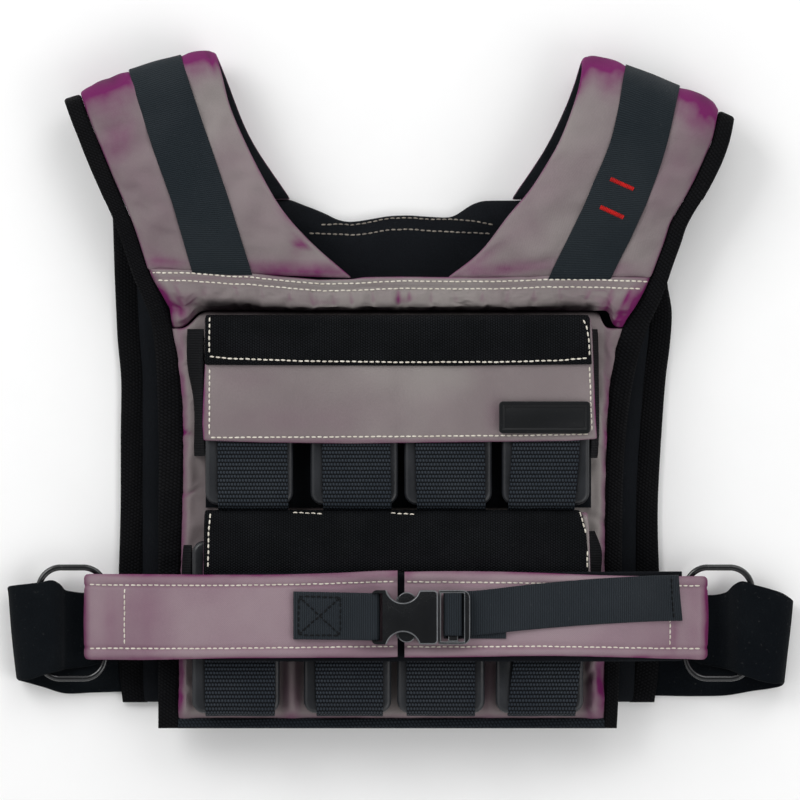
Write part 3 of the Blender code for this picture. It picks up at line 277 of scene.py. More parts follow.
def shotFinish(name, look):
    material, tree, shader, places = newFinish(name)
    # The tint attribute carries the painted sheen and shade of the marks
    tint = put(tree, "ShaderNodeAttribute", attribute_name="tint").outputs["Fac"]
    rise = put(tree, "ShaderNodeSeparateXYZ", {0: places["Normal"]}).outputs["Z"]
    patches = use(tree, lintGroup, Place=places["Object"], Size=look["patches"], Specks=0.25)["Tone"]
    cloth = use(
        tree, shotGroup, Place=places["Object"], Rise=rise, Tint=tint,
        Grey=look["grey"], Light=look["light"], Wine=look["wine"],
    )
    count = look["threads"]
    weave = use(tree, weaveGroup, Place=places["UV"], Across=count, Down=count)["Height"]
    # Random patches of tone, and painted shade in the weave's low threads
    darker = spread(tree, patches, 0.0, 1.0, (0.90, 1.06))
    shade = sums(tree, "MULTIPLY", darker, spread(tree, weave, 0.0, 1.0, (0.93, 1.05)))
    grey = put(tree, "ShaderNodeCombineColor", {0: shade, 1: shade, 2: shade}).outputs[0]
    crumple = noise(tree, places["Object"], 55.0, 4.0)
    wire(tree, shader, {
        "Base Color": blendColour(tree, 1.0, cloth["Color"], grey, "MULTIPLY"),
        "Roughness": spread(tree, patches, 0.0, 1.0, (0.60, 0.74)), "Specular IOR Level": 0.12,
        "Sheen Weight": look["sheen"], "Sheen Roughness": 0.45, "Sheen Tint": (0.7, 0.25, 0.55, 1),
    })
    raised(tree, shader, sums(tree, "MULTIPLY_ADD", crumple, look["crumple"], weave), 0.00016, 0.7)
    return material


greyCloth = shotFinish("greyCloth", {
    "grey": (0.205, 0.172, 0.176, 1), "light": (0.275, 0.262, 0.245, 1), "wine": (0.135, 0.003, 0.085, 1),
    "threads": 1500.0, "patches": 11.0, "sheen": 0.03, "crumple": 5.0,
})
beltCloth = shotFinish("beltCloth", {
    "grey": (0.245, 0.165, 0.200, 1), "light": (0.285, 0.235, 0.245, 1), "wine": (0.125, 0.008, 0.072, 1),
    "threads": 1300.0, "patches": 9.0, "sheen": 0.08, "crumple": 4.0,
})


def ribFinish(name, look):
    # Webbing, tape and hook bands: ribs that follow the strip's own length
    look = {
        "turn": 0.0, "reach": 0.65, "patches": 16.0, "specks": 0.3, "worn": 0.35, "sheen": 0.0,
        "fuzz": 0.25, **look,
    }
    material, tree, shader, places = newFinish(name)
    rotation = (0, 0, look["turn"])
    turned = put(tree, "ShaderNodeMapping", {"Vector": places["UV"], "Rotation": rotation}).outputs[0]
    ribs = {label: look[label.lower()] for label in ("Ribs", "Bars", "Split", "Reach")}
    rib = use(tree, ribGroup, Place=turned, **ribs)
    lint = use(tree, lintGroup, Place=places["Object"], Size=look["patches"], Specks=look["specks"])
    worn = spread(tree, lint["Tone"], 0.0, 1.0, (0.0, look["worn"]))
    top = blendColour(tree, worn, look["colour"], look["faded"])
    # Painted shade in the grooves between the ribs
    ribbed = blendColour(tree, rib["Groove"], top, look["deep"])
    wire(tree, shader, {
        "Base Color": blendColour(tree, sums(tree, "MULTIPLY", lint["Specks"], 0.35), ribbed, look["dust"]),
        "Roughness": spread(tree, rib["Height"], 0.0, 1.0, (0.85, look["rough"])),
        "Sheen Weight": look["sheen"], "Sheen Roughness": 0.5, "Specular IOR Level": look["specular"],
    })
    fuzz = noise(tree, places["Object"], 700.0, 3.0)
    raised(tree, shader, sums(tree, "MULTIPLY_ADD", fuzz, look["fuzz"], rib["Height"]), look["depth"], 0.9)
    return material


def darkFinish(name, look):
    # Black cloth, nap and rubber: grain at two scales, faded patches, lint
    material, tree, shader, places = newFinish(name)
    lint = use(tree, lintGroup, Place=places["Object"], Size=look["patches"], Specks=look["specks"])
    grain = noise(tree, places["Object"], look["grain"], 5.0, Roughness=0.65)
    folds = noise(tree, places["Object"], 38.0, 3.0)
    worn = spread(tree, lint["Tone"], 0.0, 1.0, (0.0, look["worn"]))
    base = blendColour(tree, worn, look["colour"], look["faded"])
    pits = blendColour(tree, spread(tree, grain, 0.35, 0.6, (0.55, 0.0)), base, look["deep"])
    wire(tree, shader, {
        "Base Color": blendColour(tree, sums(tree, "MULTIPLY", lint["Specks"], 0.3), pits, look["dust"]),
        "Roughness": spread(tree, grain, 0.3, 0.7, (look["rough"] + 0.1, look["rough"])),
        "Sheen Weight": look["sheen"], "Sheen Roughness": 0.5, "Specular IOR Level": look["specular"],
    })
    raised(tree, shader, sums(tree, "MULTIPLY_ADD", folds, look["crumple"], grain), look["depth"], 0.8)
    return material


def hardFinish(name, look):
    # Plastic, lacquered iron and ring metal: fine grain, scuffs and a little wear
    material, tree, shader, places = newFinish(name)
    worn = use(tree, lintGroup, Place=places["Object"], Size=look["patches"], Specks=0.4)["Tone"]
    grain = noise(tree, places["Object"], look["grain"], 3.0)
    cells = {"Vector": places["Object"], "Scale": look["scuffs"]}
    scuff = put(tree, "ShaderNodeTexVoronoi", cells, feature="DISTANCE_TO_EDGE").outputs[0]
    cuts = spread(tree, scuff, 0.0, 0.02, (1.0, 0.0))
    scratch = sums(tree, "MULTIPLY", cuts, spread(tree, worn, 0.3, 0.9))
    base = blendColour(tree, worn, look["colour"], look["faded"])
    rough = spread(tree, worn, 0.0, 1.0, look["rough"])
    wire(tree, shader, {
        "Base Color": blendColour(tree, sums(tree, "MULTIPLY", scratch, 0.35), base, look["dust"]),
        "Roughness": sums(tree, "MULTIPLY_ADD", scratch, 0.2, rough), "Metallic": look["metal"],
        "Coat Weight": look["coat"], "Coat Roughness": 0.12, "Specular IOR Level": look["specular"],
    })
    raised(tree, shader, grain, look["depth"], 0.6)
    return material


loopWebbing = ribFinish("loopWebbing", {
    "ribs": 315.0, "bars": 400.0, "split": 0.75, "colour": (0.021, 0.028, 0.038, 1),
    "faded": (0.044, 0.052, 0.062, 1), "reach": 1.0,
    "deep": (0.0006, 0.0009, 0.0014, 1), "dust": (0.12, 0.12, 0.12, 1), "rough": 0.5, "depth": 0.0012,
    "worn": 0.45,
    "specular": 0.12,
})
strapWebbing = ribFinish("strapWebbing", {
    "ribs": 620.0, "bars": 900.0, "split": 0.35, "colour": (0.0085, 0.014, 0.0185, 1),
    "faded": (0.019, 0.025, 0.030, 1),
    "deep": (0.003, 0.005, 0.007, 1), "dust": (0.1, 0.1, 0.1, 1), "rough": 0.55, "depth": 0.00035,
    "worn": 0.5,
    "sheen": 0.02, "specular": 0.14,
})
beltWebbing = ribFinish("beltWebbing", {
    "ribs": 560.0, "bars": 800.0, "split": 0.4, "colour": (0.010, 0.0150, 0.0205, 1),
    "faded": (0.023, 0.029, 0.036, 1),
    "deep": (0.002, 0.0025, 0.0035, 1), "dust": (0.12, 0.12, 0.12, 1), "rough": 0.5, "depth": 0.0004,
    "worn": 0.4,
    "sheen": 0.02, "specular": 0.18,
})
tabWebbing = ribFinish("tabWebbing", {
    "ribs": 500.0, "bars": 700.0, "split": 0.4, "colour": (0.0036, 0.004, 0.005, 1),
    "faded": (0.008, 0.0082, 0.0095, 1),
    "deep": (0.0015, 0.0015, 0.002, 1), "dust": (0.1, 0.1, 0.1, 1), "rough": 0.65, "depth": 0.0004,
    "sheen": 0.01, "specular": 0.1,
})
edgeTape = ribFinish("edgeTape", {
    "ribs": 420.0, "bars": 330.0, "split": 0.8, "colour": (0.0034, 0.0036, 0.0046, 1),
    "faded": (0.0085, 0.0082, 0.009, 1),
    "deep": (0.0008, 0.0008, 0.001, 1), "dust": (0.06, 0.055, 0.055, 1), "rough": 0.7, "depth": 0.0006,
    "turn": 0.6,
    "fuzz": 0.6, "specular": 0.07,
})
footTape = ribFinish("footTape", {
    "ribs": 420.0, "bars": 330.0, "split": 0.8, "colour": (0.012, 0.0165, 0.022, 1),
    "faded": (0.024, 0.029, 0.035, 1),
    "deep": (0.002, 0.003, 0.004, 1), "dust": (0.08, 0.08, 0.08, 1), "rough": 0.7, "depth": 0.0006,
    "turn": 0.6,
    "fuzz": 0.6, "specular": 0.1,
})
hookFabric = ribFinish("hookFabric", {
    "ribs": 520.0, "bars": 460.0, "split": 0.85, "colour": (0.0030, 0.0038, 0.005, 1),
    "faded": (0.008, 0.009, 0.011, 1),
    "deep": (0.0004, 0.0005, 0.0007, 1), "dust": (0.06, 0.06, 0.06, 1), "rough": 0.6, "depth": 0.0008,
    "turn": math.pi / 2, "fuzz": 0.7, "specular": 0.08, "patches": 40.0, "worn": 0.6,
})
blackCloth = darkFinish("blackCloth", {
    "colour": (0.0028, 0.0040, 0.006, 1), "faded": (0.0065, 0.008, 0.011, 1),
    "deep": (0.001, 0.001, 0.0015, 1),
    "dust": (0.06, 0.06, 0.06, 1), "patches": 10.0, "grain": 1100.0, "worn": 0.7, "rough": 0.75,
    "sheen": 0.01,
    "specks": 0.4, "depth": 0.0003, "specular": 0.1, "crumple": 2.0,
})
napCloth = darkFinish("napCloth", {
    "colour": (0.0022, 0.0036, 0.0055, 1), "faded": (0.006, 0.008, 0.010, 1),
    "deep": (0.0006, 0.0008, 0.001, 1),
    "dust": (0.06, 0.06, 0.06, 1), "patches": 14.0, "grain": 1600.0, "worn": 0.8, "rough": 0.88,
    "sheen": 0.03,
    "specks": 0.8, "depth": 0.0006, "crumple": 1.2, "specular": 0.06,
})
patchRubber = darkFinish("patchRubber", {
    "colour": (0.0036, 0.0045, 0.0056, 1), "faded": (0.0065, 0.0075, 0.009, 1),
    "deep": (0.0018, 0.002, 0.0025, 1),
    "dust": (0.08, 0.08, 0.08, 1), "patches": 25.0, "grain": 1400.0, "worn": 0.6, "rough": 0.34,
    "sheen": 0.0,
    "specks": 0.5, "depth": 0.00012, "crumple": 0.2, "specular": 0.3,
})
castIron = hardFinish("castIron", {
    "colour": (0.008, 0.009, 0.011, 1), "faded": (0.020, 0.022, 0.026, 1), "dust": (0.03, 0.03, 0.03, 1),
    "specular": 0.35,
    "patches": 20.0, "grain": 260.0, "scuffs": 60.0, "rough": (0.32, 0.46), "metal": 0.0, "coat": 0.03,
    "depth": 0.0004,
})
bucklePlastic = hardFinish("bucklePlastic", {
    "colour": (0.0024, 0.0030, 0.0040, 1), "faded": (0.0045, 0.0055, 0.0070, 1),
    "dust": (0.012, 0.012, 0.013, 1), "specular": 0.5,
    "patches": 30.0, "grain": 2200.0, "scuffs": 90.0, "rough": (0.20, 0.30), "metal": 0.0, "coat": 0.15,
    "depth": 0.00005,
})
# The plastic's bevelled edges, lighter: a painted highlight
buckleEdgeHighlight = hardFinish("buckleEdgeHighlight", {
    "colour": (0.060, 0.064, 0.070, 1), "faded": (0.110, 0.116, 0.124, 1), "dust": (0.12, 0.12, 0.12, 1),
    "specular": 0.8,
    "patches": 60.0, "grain": 2200.0, "scuffs": 90.0, "rough": (0.22, 0.34), "metal": 0.0, "coat": 0.1,
    "depth": 0.00003,
})
ringMetal = hardFinish("ringMetal", {
    "colour": (0.004, 0.0045, 0.0055, 1), "faded": (0.008, 0.009, 0.010, 1), "dust": (0.06, 0.06, 0.06, 1),
    "specular": 0.5,
    "patches": 40.0, "grain": 900.0, "scuffs": 120.0, "rough": (0.14, 0.26), "metal": 0.15, "coat": 0.4,
    "depth": 0.00003,
})


def threadFinish(name, colour, dull):
    # Twisted thread: slanted plies along each stitch
    material, tree, shader, places = newFinish(name)
    parts = put(tree, "ShaderNodeSeparateXYZ", {0: places["UV"]}).outputs
    slant = sums(tree, "MULTIPLY_ADD", parts[0], 0.7, parts[1])
    ply = sums(tree, "ABSOLUTE", sums(tree, "SINE", sums(tree, "MULTIPLY", slant, 9.0)))
    worn = use(tree, lintGroup, Place=places["Object"], Size=120.0, Specks=0.0)["Tone"]
    faded = blendColour(tree, worn, colour, dull)
    # Painted shade in the grooves between the plies
    groove = tuple(x * 0.35 for x in dull[:3]) + (1,)
    wire(tree, shader, {
        "Base Color": blendColour(tree, spread(tree, ply, 0.0, 0.5, (0.45, 0.0)), faded, groove),
        "Roughness": spread(tree, ply, 0.0, 1.0, (0.8, 0.5)), "Sheen Weight": 0.02,
        "Specular IOR Level": 0.15,
    })
    raised(tree, shader, ply, 0.0002, 0.8)
    return material


creamThread = threadFinish("creamThread", (0.88, 0.84, 0.74, 1), (0.66, 0.61, 0.52, 1))
redThread = threadFinish("redThread", (0.62, 0.012, 0.010, 1), (0.40, 0.010, 0.010, 1))
# The neckline's cream thread, dimmed by painted shade
shadedCreamThread = threadFinish("shadedCreamThread", (0.30, 0.27, 0.23, 1), (0.17, 0.15, 0.13, 1))
darkThread = threadFinish("darkThread", (0.0035, 0.0045, 0.006, 1), (0.002, 0.0025, 0.0035, 1))
print("finishes made")


def curveRows(stops, step):
    # Rows (left, right, thick, distance) of a strip that runs smoothly through its stops, all in metres
    keys = np.array([[*stop[0], *stop[1], stop[2]] for stop in stops], float)
    middles = (keys[:, :3] + keys[:, 3:6]) / 2
    gaps = np.maximum(np.linalg.norm(np.diff(middles, axis=0), axis=1), 1e-6)
    marks = np.concatenate([[0.0], np.cumsum(gaps)])
    slopes = np.diff(keys, axis=0) / gaps[:, None]
    turns = np.empty_like(keys)
    turns[0], turns[-1] = slopes[0], slopes[-1]
    for i in range(1, len(keys) - 1):
        turns[i] = (slopes[i - 1] * gaps[i] + slopes[i] * gaps[i - 1]) / (gaps[i] + gaps[i - 1])
    count = max(2, round(marks[-1] / step))
    rows = []
    for k in range(count + 1):
        at = marks[-1] * k / count
        i = min(int(np.searchsorted(marks, at, side="right")) - 1, len(gaps) - 1)
        h, t = gaps[i], (at - marks[i]) / gaps[i]
        found = (
            keys[i] * (2 * t**3 - 3 * t**2 + 1) + turns[i] * h * (t**3 - 2 * t**2 + t)
            + keys[i + 1] * (3 * t**2 - 2 * t**3) + turns[i + 1] * h * (t**3 - t**2)
        )
        rows.append([Vector(found[:3]), Vector(found[3:6]), float(found[6]), at])
    return rows


def rowNormals(rows):
    middles = [(row[0] + row[1]) / 2 for row in rows]
    found = []
    for k, row in enumerate(rows):
        path = middles[min(k + 1, len(rows) - 1)] - middles[max(k - 1, 0)]
        found.append((row[1] - row[0]).cross(path).normalized())
    return found


def edgeColumns(width, thick, columns):
    # Places across a strip, close together where its edge is round
    r = min(thick / 2, width / 5)
    near = [0.0, 0.12 * r / width, 0.45 * r / width, r / width]
    inner = [mix(r / width, 1 - r / width, k / columns) for k in range(1, columns)]
    return near + inner + [1 - x for x in reversed(near)]


def evenShares(count):
    return [k / count for k in range(count + 1)]


def weavePlace(px, py):
    # Where a place lies on cloth that is woven straight up and down
    return px * pixel * mm, py * pixel * mm


def roundShare(u, width, thick):
    r = min(thick / 2, width / 5)
    d = min(u, 1 - u) * width
    return 1.0 if d >= r else max(0.3, math.sqrt(max(0.0, 1 - (1 - d / r) ** 2)))


def gridForm(bm, tops, unders, uvs, tints, undersOther):
    # A closed form between two grids of points that share their rim's walls
    tint = bm.verts.layers.float.new("tint")
    uvLayer = bm.loops.layers.uv.new("weave")
    top, under = [[[bm.verts.new(spot) for spot in line] for line in sheet] for sheet in (tops, unders)]
    spots = {}
    for grid in (top, under):
        for row, rowUvs, rowTints in zip(grid, uvs, tints):
            for vert, uv, share in zip(row, rowUvs, rowTints):
                spots[vert] = uv
                vert[tint] = share
    last, end = len(top) - 1, len(top[0]) - 1
    for j in range(last):
        for i in range(end):
            bm.faces.new((top[j][i], top[j][i + 1], top[j + 1][i + 1], top[j + 1][i]))
            face = bm.faces.new((under[j][i], under[j + 1][i], under[j + 1][i + 1], under[j][i + 1]))
            face.material_index = undersOther
        bm.faces.new((top[j][0], top[j + 1][0], under[j + 1][0], under[j][0]))
        bm.faces.new((top[j][end], under[j][end], under[j + 1][end], top[j + 1][end]))
    for i in range(end):
        bm.faces.new((top[0][i], under[0][i], under[0][i + 1], top[0][i + 1]))
        bm.faces.new((top[last][i], top[last][i + 1], under[last][i + 1], under[last][i]))
    bm.faces.ensure_lookup_table()
    for face in bm.faces:
        for loop in face.loops:
            loop[uvLayer].uv = spots[loop.vert]
    bmesh.ops.recalc_face_normals(bm, faces=bm.faces)


def activate(made):
    bpy.ops.object.select_all(action="DESELECT")
    made.select_set(True)
    bpy.context.view_layer.objects.active = made


def apply(made, kind, **settings):
    activate(made)
    modifier = made.modifiers.new(kind.lower(), kind)
    for name, value in settings.items():
        setattr(modifier, name, value)
    bpy.ops.object.modifier_apply(modifier=modifier.name)


def gridsOf(across, down, place):
    # Tops, undersides, weave places and tints, from what place gives at each share across and down
    grids = [], [], [], []
    for v in down:
        for grid, line in zip(grids, zip(*[place(u, v) for u in across])):
            grid.append(line)
    return grids


def gridPiece(name, grids, look, angle):
    # The closed form between two grids, with its finishes and the nodes that it stands for
    under = [look["under"]] if look.get("under") else []
    bm = bmesh.new()
    gridForm(bm, *grids, len(under))
    made = finished(name, bm, [look["finish"]] + under, look["slot"], angle)
    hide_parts(*look["stands"])
    return made


def strip(name, stops, look):
    # Cloth, tape or webbing along its stops; look says its columns, rounding, lift, swell and tint
    rows = curveRows(stops, look.get("step", 0.004))
    normals = rowNormals(rows)
    side = -1 if look.get("flip") else 1
    width = sum((row[1] - row[0]).length for row in rows) / len(rows)
    thickest = max(row[2] for row in rows)
    lift, swell, tint = look.get("lift"), look.get("swell"), look.get("tint")

    def place(u, k):
        left, right, thick, at = rows[k]
        share = at / rows[-1][3]
        spot = left.lerp(right, u)
        full = roundShare(u, width, thickest) * (0.45, 0.85, 1.0)[min(k, len(rows) - 1 - k, 2)]
        full *= swell(u, share) if swell else 1.0
        half = normals[k] * side * thick * full / 2
        moved = spot + normals[k] * side * (lift(u, share, spot) if lift else 0.0)
        return moved + half, moved - half, (u * width, at), tint(u, share, spot) if tint else 0.0

    columns = edgeColumns(width, thickest, look["columns"])
    return gridPiece(name, gridsOf(columns, range(len(rows)), place), look, 60)


def sewnPad(name, grids, look):
    # A padded form from two grids; look says its finishes, pins, pressure and how far it may swell
    made = gridPiece(name, grids, look, 80)
    down, across = len(grids[0]), len(grids[0][0])
    if look.get("pressure"):
        pins = []
        for level in (0, 1):
            for j in range(down):
                pins += [look["pin"](i / (across - 1), j / (down - 1), level) for i in range(across)]
        swellPad(made, pins, look)
    # The floor flattens what swells down onto it
    for vert in made.data.vertices:
        vert.co.z = max(vert.co.z, floorGap)
    apply(made, "SUBSURF", levels=1, render_levels=1)
    return made


def swellPad(made, pins, look):
    # Air pressure against sewn seams, on a short cloth run whose points may move only so far
    group = made.vertex_groups.new(name="sewn")
    for index, weight in enumerate(pins):
        if weight > 0:
            group.add([index], weight, "REPLACE")
    start = [vert.co.copy() for vert in made.data.vertices]
    cloth = made.modifiers.new("swell", "CLOTH")
    for name, value in {
        "quality": 5, "mass": 0.2, "tension_stiffness": 12.0, "compression_stiffness": 12.0,
        "shear_stiffness": 4.0,
        "bending_stiffness": look["bend"], "use_pressure": True, "uniform_pressure_force": look["pressure"],
        "shrink_min": -look["ease"], "vertex_group_mass": "sewn",
    }.items():
        setattr(cloth.settings, name, value)
    cloth.settings.effector_weights.gravity = 0
    cloth.collision_settings.use_collision = False
    cloth.collision_settings.use_self_collision = False
    cloth.point_cache.frame_start = 1
    cloth.point_cache.frame_end = 25
    for step in range(1, look["frames"] + 1):
        bpy.context.scene.frame_set(step)
    swollen = made.evaluated_get(bpy.context.evaluated_depsgraph_get())
    moved = [vert.co.copy() for vert in swollen.data.vertices]
    made.modifiers.remove(cloth)
    bpy.context.scene.frame_set(1)
    for vert, old, new in zip(made.data.vertices, start, moved):
        step = new - old
        if step.length > look["cap"]:
            step = step.normalized() * look["cap"]
        vert.co = old + step
    made.data.update()


# The photograph's view: straight down from far away, so that nothing leans
viewing = {"middle": (9.6, 48.0), "wide": 640.0, "away": 16000.0, "level": 45.0}


def makeCamera():
    lens = bpy.data.cameras.new("photoCamera")
    away = viewing["away"] * mm
    lens.lens = lens.sensor_width * (viewing["away"] - viewing["level"]) / viewing["wide"]
    lens.clip_end = 100.0
    made = bpy.data.objects.new("photoCamera", lens)
    made.location = (viewing["middle"][0] * mm, viewing["middle"][1] * mm, away)
    bpy.context.scene.collection.objects.link(made)
    bpy.context.scene.camera = made


def makeStage():
    bpy.ops.object.select_all(action="DESELECT")
    bpy.ops.mesh.primitive_plane_add(size=60.0, location=(0, 0, -0.0004))
    floor = bpy.context.object
    floor.name = "paleFloor"
    material, tree, shader, places = newFinish("paleFloor")
    grain = noise(tree, places["Object"], 30.0, 3.0)
    pale = blendColour(tree, grain, (0.90, 0.90, 0.90, 1), (0.92, 0.92, 0.92, 1))
    wire(tree, shader, {"Base Color": pale, "Roughness": 0.9})
    floor.data.materials.append(material)
    world = bpy.data.worlds.new("studio")
    bpy.context.scene.world = world
    world.use_nodes = True
    # A bright ring half way up, dimmer low down and overhead: turned edges darken and level black stays black
    sky = world.node_tree
    way = put(sky, "ShaderNodeTexCoord").outputs["Generated"]
    up = put(sky, "ShaderNodeSeparateXYZ", {0: way}).outputs[2]
    low, high = spread(sky, up, 0.0, 0.5, (0.40, 1.04)), spread(sky, up, 0.6, 0.97, (1.0, 0.17))
    air = {"Color": (1.0, 1.0, 1.0, 1), "Strength": sums(sky, "MULTIPLY", low, high)}
    wire(sky, sky.nodes["Background"], air)
    for name, spot, size, power in (
        ("keySoft", (-1.9, 1.7, 1.9), 1.7, 41.0),
        ("fillSoft", (2.0, -1.2, 1.8), 1.9, 19.0),
        ("farSoft", (0.9, 2.3, 1.7), 1.6, 16.0),
    ):
        light = bpy.data.lights.new(name, "AREA")
        light.size = size
        light.energy = power
        made = bpy.data.objects.new(name, light)
        made.location = spot
        made.rotation_mode = "QUATERNION"
        made.rotation_quaternion = (Vector((0, 0.05, 0)) - Vector(spot)).to_track_quat("-Z", "Y")
        bpy.context.scene.collection.objects.link(made)
    bpy.context.scene.view_settings.view_transform = "Standard"


makeCamera()
makeStage()
print("camera, floor and lights placed")

# Heights in millimetres, as the frame has them, and the radius of the shoulder fold
levels = {
    "backTop": 12.0, "hollowTop": 24.0, "strapSeat": 24.0, "strapThick": 15.5, "foldTop": 40.5,
    "foldLow": 10.5, "foldRadius": 15.0, "seamZ": 6.0, "backEdge": 3.4, "frontEdge": 29.3, "backing": 35.3,
}

# Shoulder straps seen from above: outer and inner edge in the photograph's pixels, height share and
# fullness, from the hem up to the fold and down the back
shoulder = {
    "left": {
        "front": [
            (147.5, 270, 353, 278.5, 0.00, 0.80),
            (139, 242, 310, 241, 0.34, 0.97),
            (131.5, 220.5, 284, 212, 0.58, 1.00),
            (121, 195.5, 261, 173.5, 0.80, 1.00),
            (110.5, 171, 243, 137, 0.94, 1.00),
            (97, 138, 229, 103, 1.00, 1.00),
            (87, 113, 221, 71, 1.00, 1.00),
        ],
        "back": [
            (87, 113, 225, 75, 1.00, 1.00),
            (103, 156, 249.5, 136, 0.97, 0.98),
            (121, 199.5, 291, 199.5, 0.00, 0.66),
        ],
        "lean": -0.36,
    },
    "right": {
        "front": [
            (446, 278.5, 651, 278, 0.00, 0.80),
            (483, 248.5, 665, 240.5, 0.34, 0.97),
            (508, 215.5, 671.5, 220.5, 0.58, 1.00),
            (529, 191, 682, 203, 0.80, 1.00),
            (545, 166.5, 693, 183, 0.94, 1.00),
            (563, 133, 707, 152, 1.00, 1.00),
            (580.5, 79, 714.5, 131, 1.00, 1.00),
        ],
        "back": [
            (576.5, 77, 714.5, 131, 1.00, 1.00),
            (547, 145, 700, 171, 0.97, 0.98),
            (511, 199.5, 686, 199.5, 0.00, 0.66),
        ],
        "lean": 0.20,
    },
}
padThick = levels["strapThick"]


def strapStops(side):
    plan = shoulder[side]
    atHem = levels["strapSeat"] + padThick * padCrown(0.5) * plan["front"][0][5] / 2
    stops = []
    for lx, ly, rx, ry, height, full in plan["front"]:
        z = mix(atHem, levels["foldTop"], height)
        stops.append((seen(lx, ly, z), seen(rx, ry, z), padThick * full * mm))
    outward = Vector((plan["lean"], 1, 0)).normalized()
    first, last = plan["front"][-1], plan["back"][0]
    for k in range(1, 8):
        part = k / 8
        z = (levels["foldTop"] + levels["foldLow"]) / 2 + levels["foldRadius"] * math.cos(math.pi * part)
        swing = outward * levels["foldRadius"] * math.sin(math.pi * part) * mm
        left = seen(mix(first[0], last[0], part), mix(first[1], last[1], part), z) + swing
        right = seen(mix(first[2], last[2], part), mix(first[3], last[3], part), z) + swing
        stops.append((left, right, padThick * mm))
    for lx, ly, rx, ry, height, full in plan["back"]:
        z = mix(levels["seamZ"], levels["foldLow"], height)
        stops.append((seen(lx, ly, z), seen(rx, ry, z), padThick * full * mm))
    return stops


# Edges of the webbing on the straps, in pixels from the hem up to the fold
webEdges = {
    "left": (
        [(192.5, 272), (173, 205), (151.5, 145), (129.2, 72)],
        [(252.5, 274), (228.6, 198), (204.6, 128), (180.4, 56)],
    ),
    "right": (
        [
            (548, 277), (570.7, 231.5), (584.5, 203), (595, 178), (606.8, 152), (616, 123), (620.6, 91),
            (622.5, 62),
        ],
        [(610.5, 277), (630, 239), (646.5, 203), (659.2, 170), (670, 134), (675.5, 101), (677.5, 84)],
    ),
}


def webShares(side, rows, normals):
    # Where the webbing's edges cross each row of the pad, as shares of its width; past the fold they stay
    found = []
    for (left, right, *_), normal in zip(rows, normals):
        if found and normal.z < 0.8 and len(found) > len(rows) / 4:
            found.append(found[-1])
            continue
        pair = []
        for edge in webEdges[side]:
            low, high = 0.0, 1.0
            for _ in range(18):
                half = (low + high) / 2
                spot = left.lerp(right, half)
                px, py = pixelsOf(spot)
                low, high = (half, high) if px < fromTable(edge, py, 0, 1) else (low, half)
            pair.append((low + high) / 2)
        found.append(tuple(pair))
    return found


def padCrown(u):
    # Cross section of a padded strap: thin at its seams, full over its middle
    d = min(u, 1 - u)
    return 0.40 + 0.62 * math.sin(min(1.0, d / 0.20) * math.pi / 2) ** 0.9 + 0.06 * smooth(d / 0.5)


def paintedSheenAndShade(spot, marks):
    # How wine red or dark a place is painted, as painted sheen and shade: each mark is px, py, half width,
    # half height in pixels, its turn and strength
    px, py = pixelsOf(spot)
    total = 0.0
    for x, y, wide, tall, turn, strength in marks:
        c, s = math.cos(math.radians(turn)), math.sin(math.radians(turn))
        dx, dy = px - x, py - y
        a, b = (dx * c + dy * s) / wide, (dy * c - dx * s) / tall
        total += strength * math.exp(-(a * a + b * b))
    return min(total, 2.0)


# Painted sheen and shade on the pads: wine red at the folds at the top and above the hem, near black in
# creases
padMarks = {
    "left": [
        (98, 86, 32, 19, -20, 1.3), (120, 150, 50, 70, 0, 0.12), (250, 170, 40, 60, -30, 0.14),
        (160, 220, 30, 50, -20, 0.1), (124, 80, 18, 18, -15, 0.6), (203, 52, 22, 17, 0, 1.3),
        (190, 62, 12, 22, 0, 0.5), (112, 144, 15, 24, 60, 0.42), (120, 118, 14, 16, 0, 0.2),
        (212, 66, 4, 10, -12, 0.6), (318, 271, 42, 9, 4, 0.85), (262, 268, 34, 7, 6, 0.60),
        (165, 262, 26, 5, 0, 0.45), (301, 243, 7, 3, 40, 1.3), (296, 247, 14, 3, -50, 0.35),
        (150, 255, 10, 22, -60, 0.2), (284, 216, 3, 16, -40, 0.2), (178, 150, 4, 60, -17, 0.15),
    ],
    "right": [
        (596, 60, 28, 19, 15, 1.3), (612, 80, 14, 16, 10, 0.5), (698, 96, 28, 22, 25, 1.4),
        (704, 122, 14, 16, 20, 0.4), (676, 165, 26, 60, 20, 0.2), (696, 180, 6, 40, 22, 0.2),
        (540, 190, 30, 60, 30, 0.12), (668, 245, 7, 30, 25, 0.34), (500, 269, 52, 7, -8, 0.6),
        (600, 268, 44, 5, 0, 0.45), (580, 80, 7, 16, 14, 0.7), (572, 100, 3, 12, 20, 0.4),
        (480, 258, 26, 6, -35, 0.4), (655, 120, 6, 40, 12, 0.12),
    ],
}


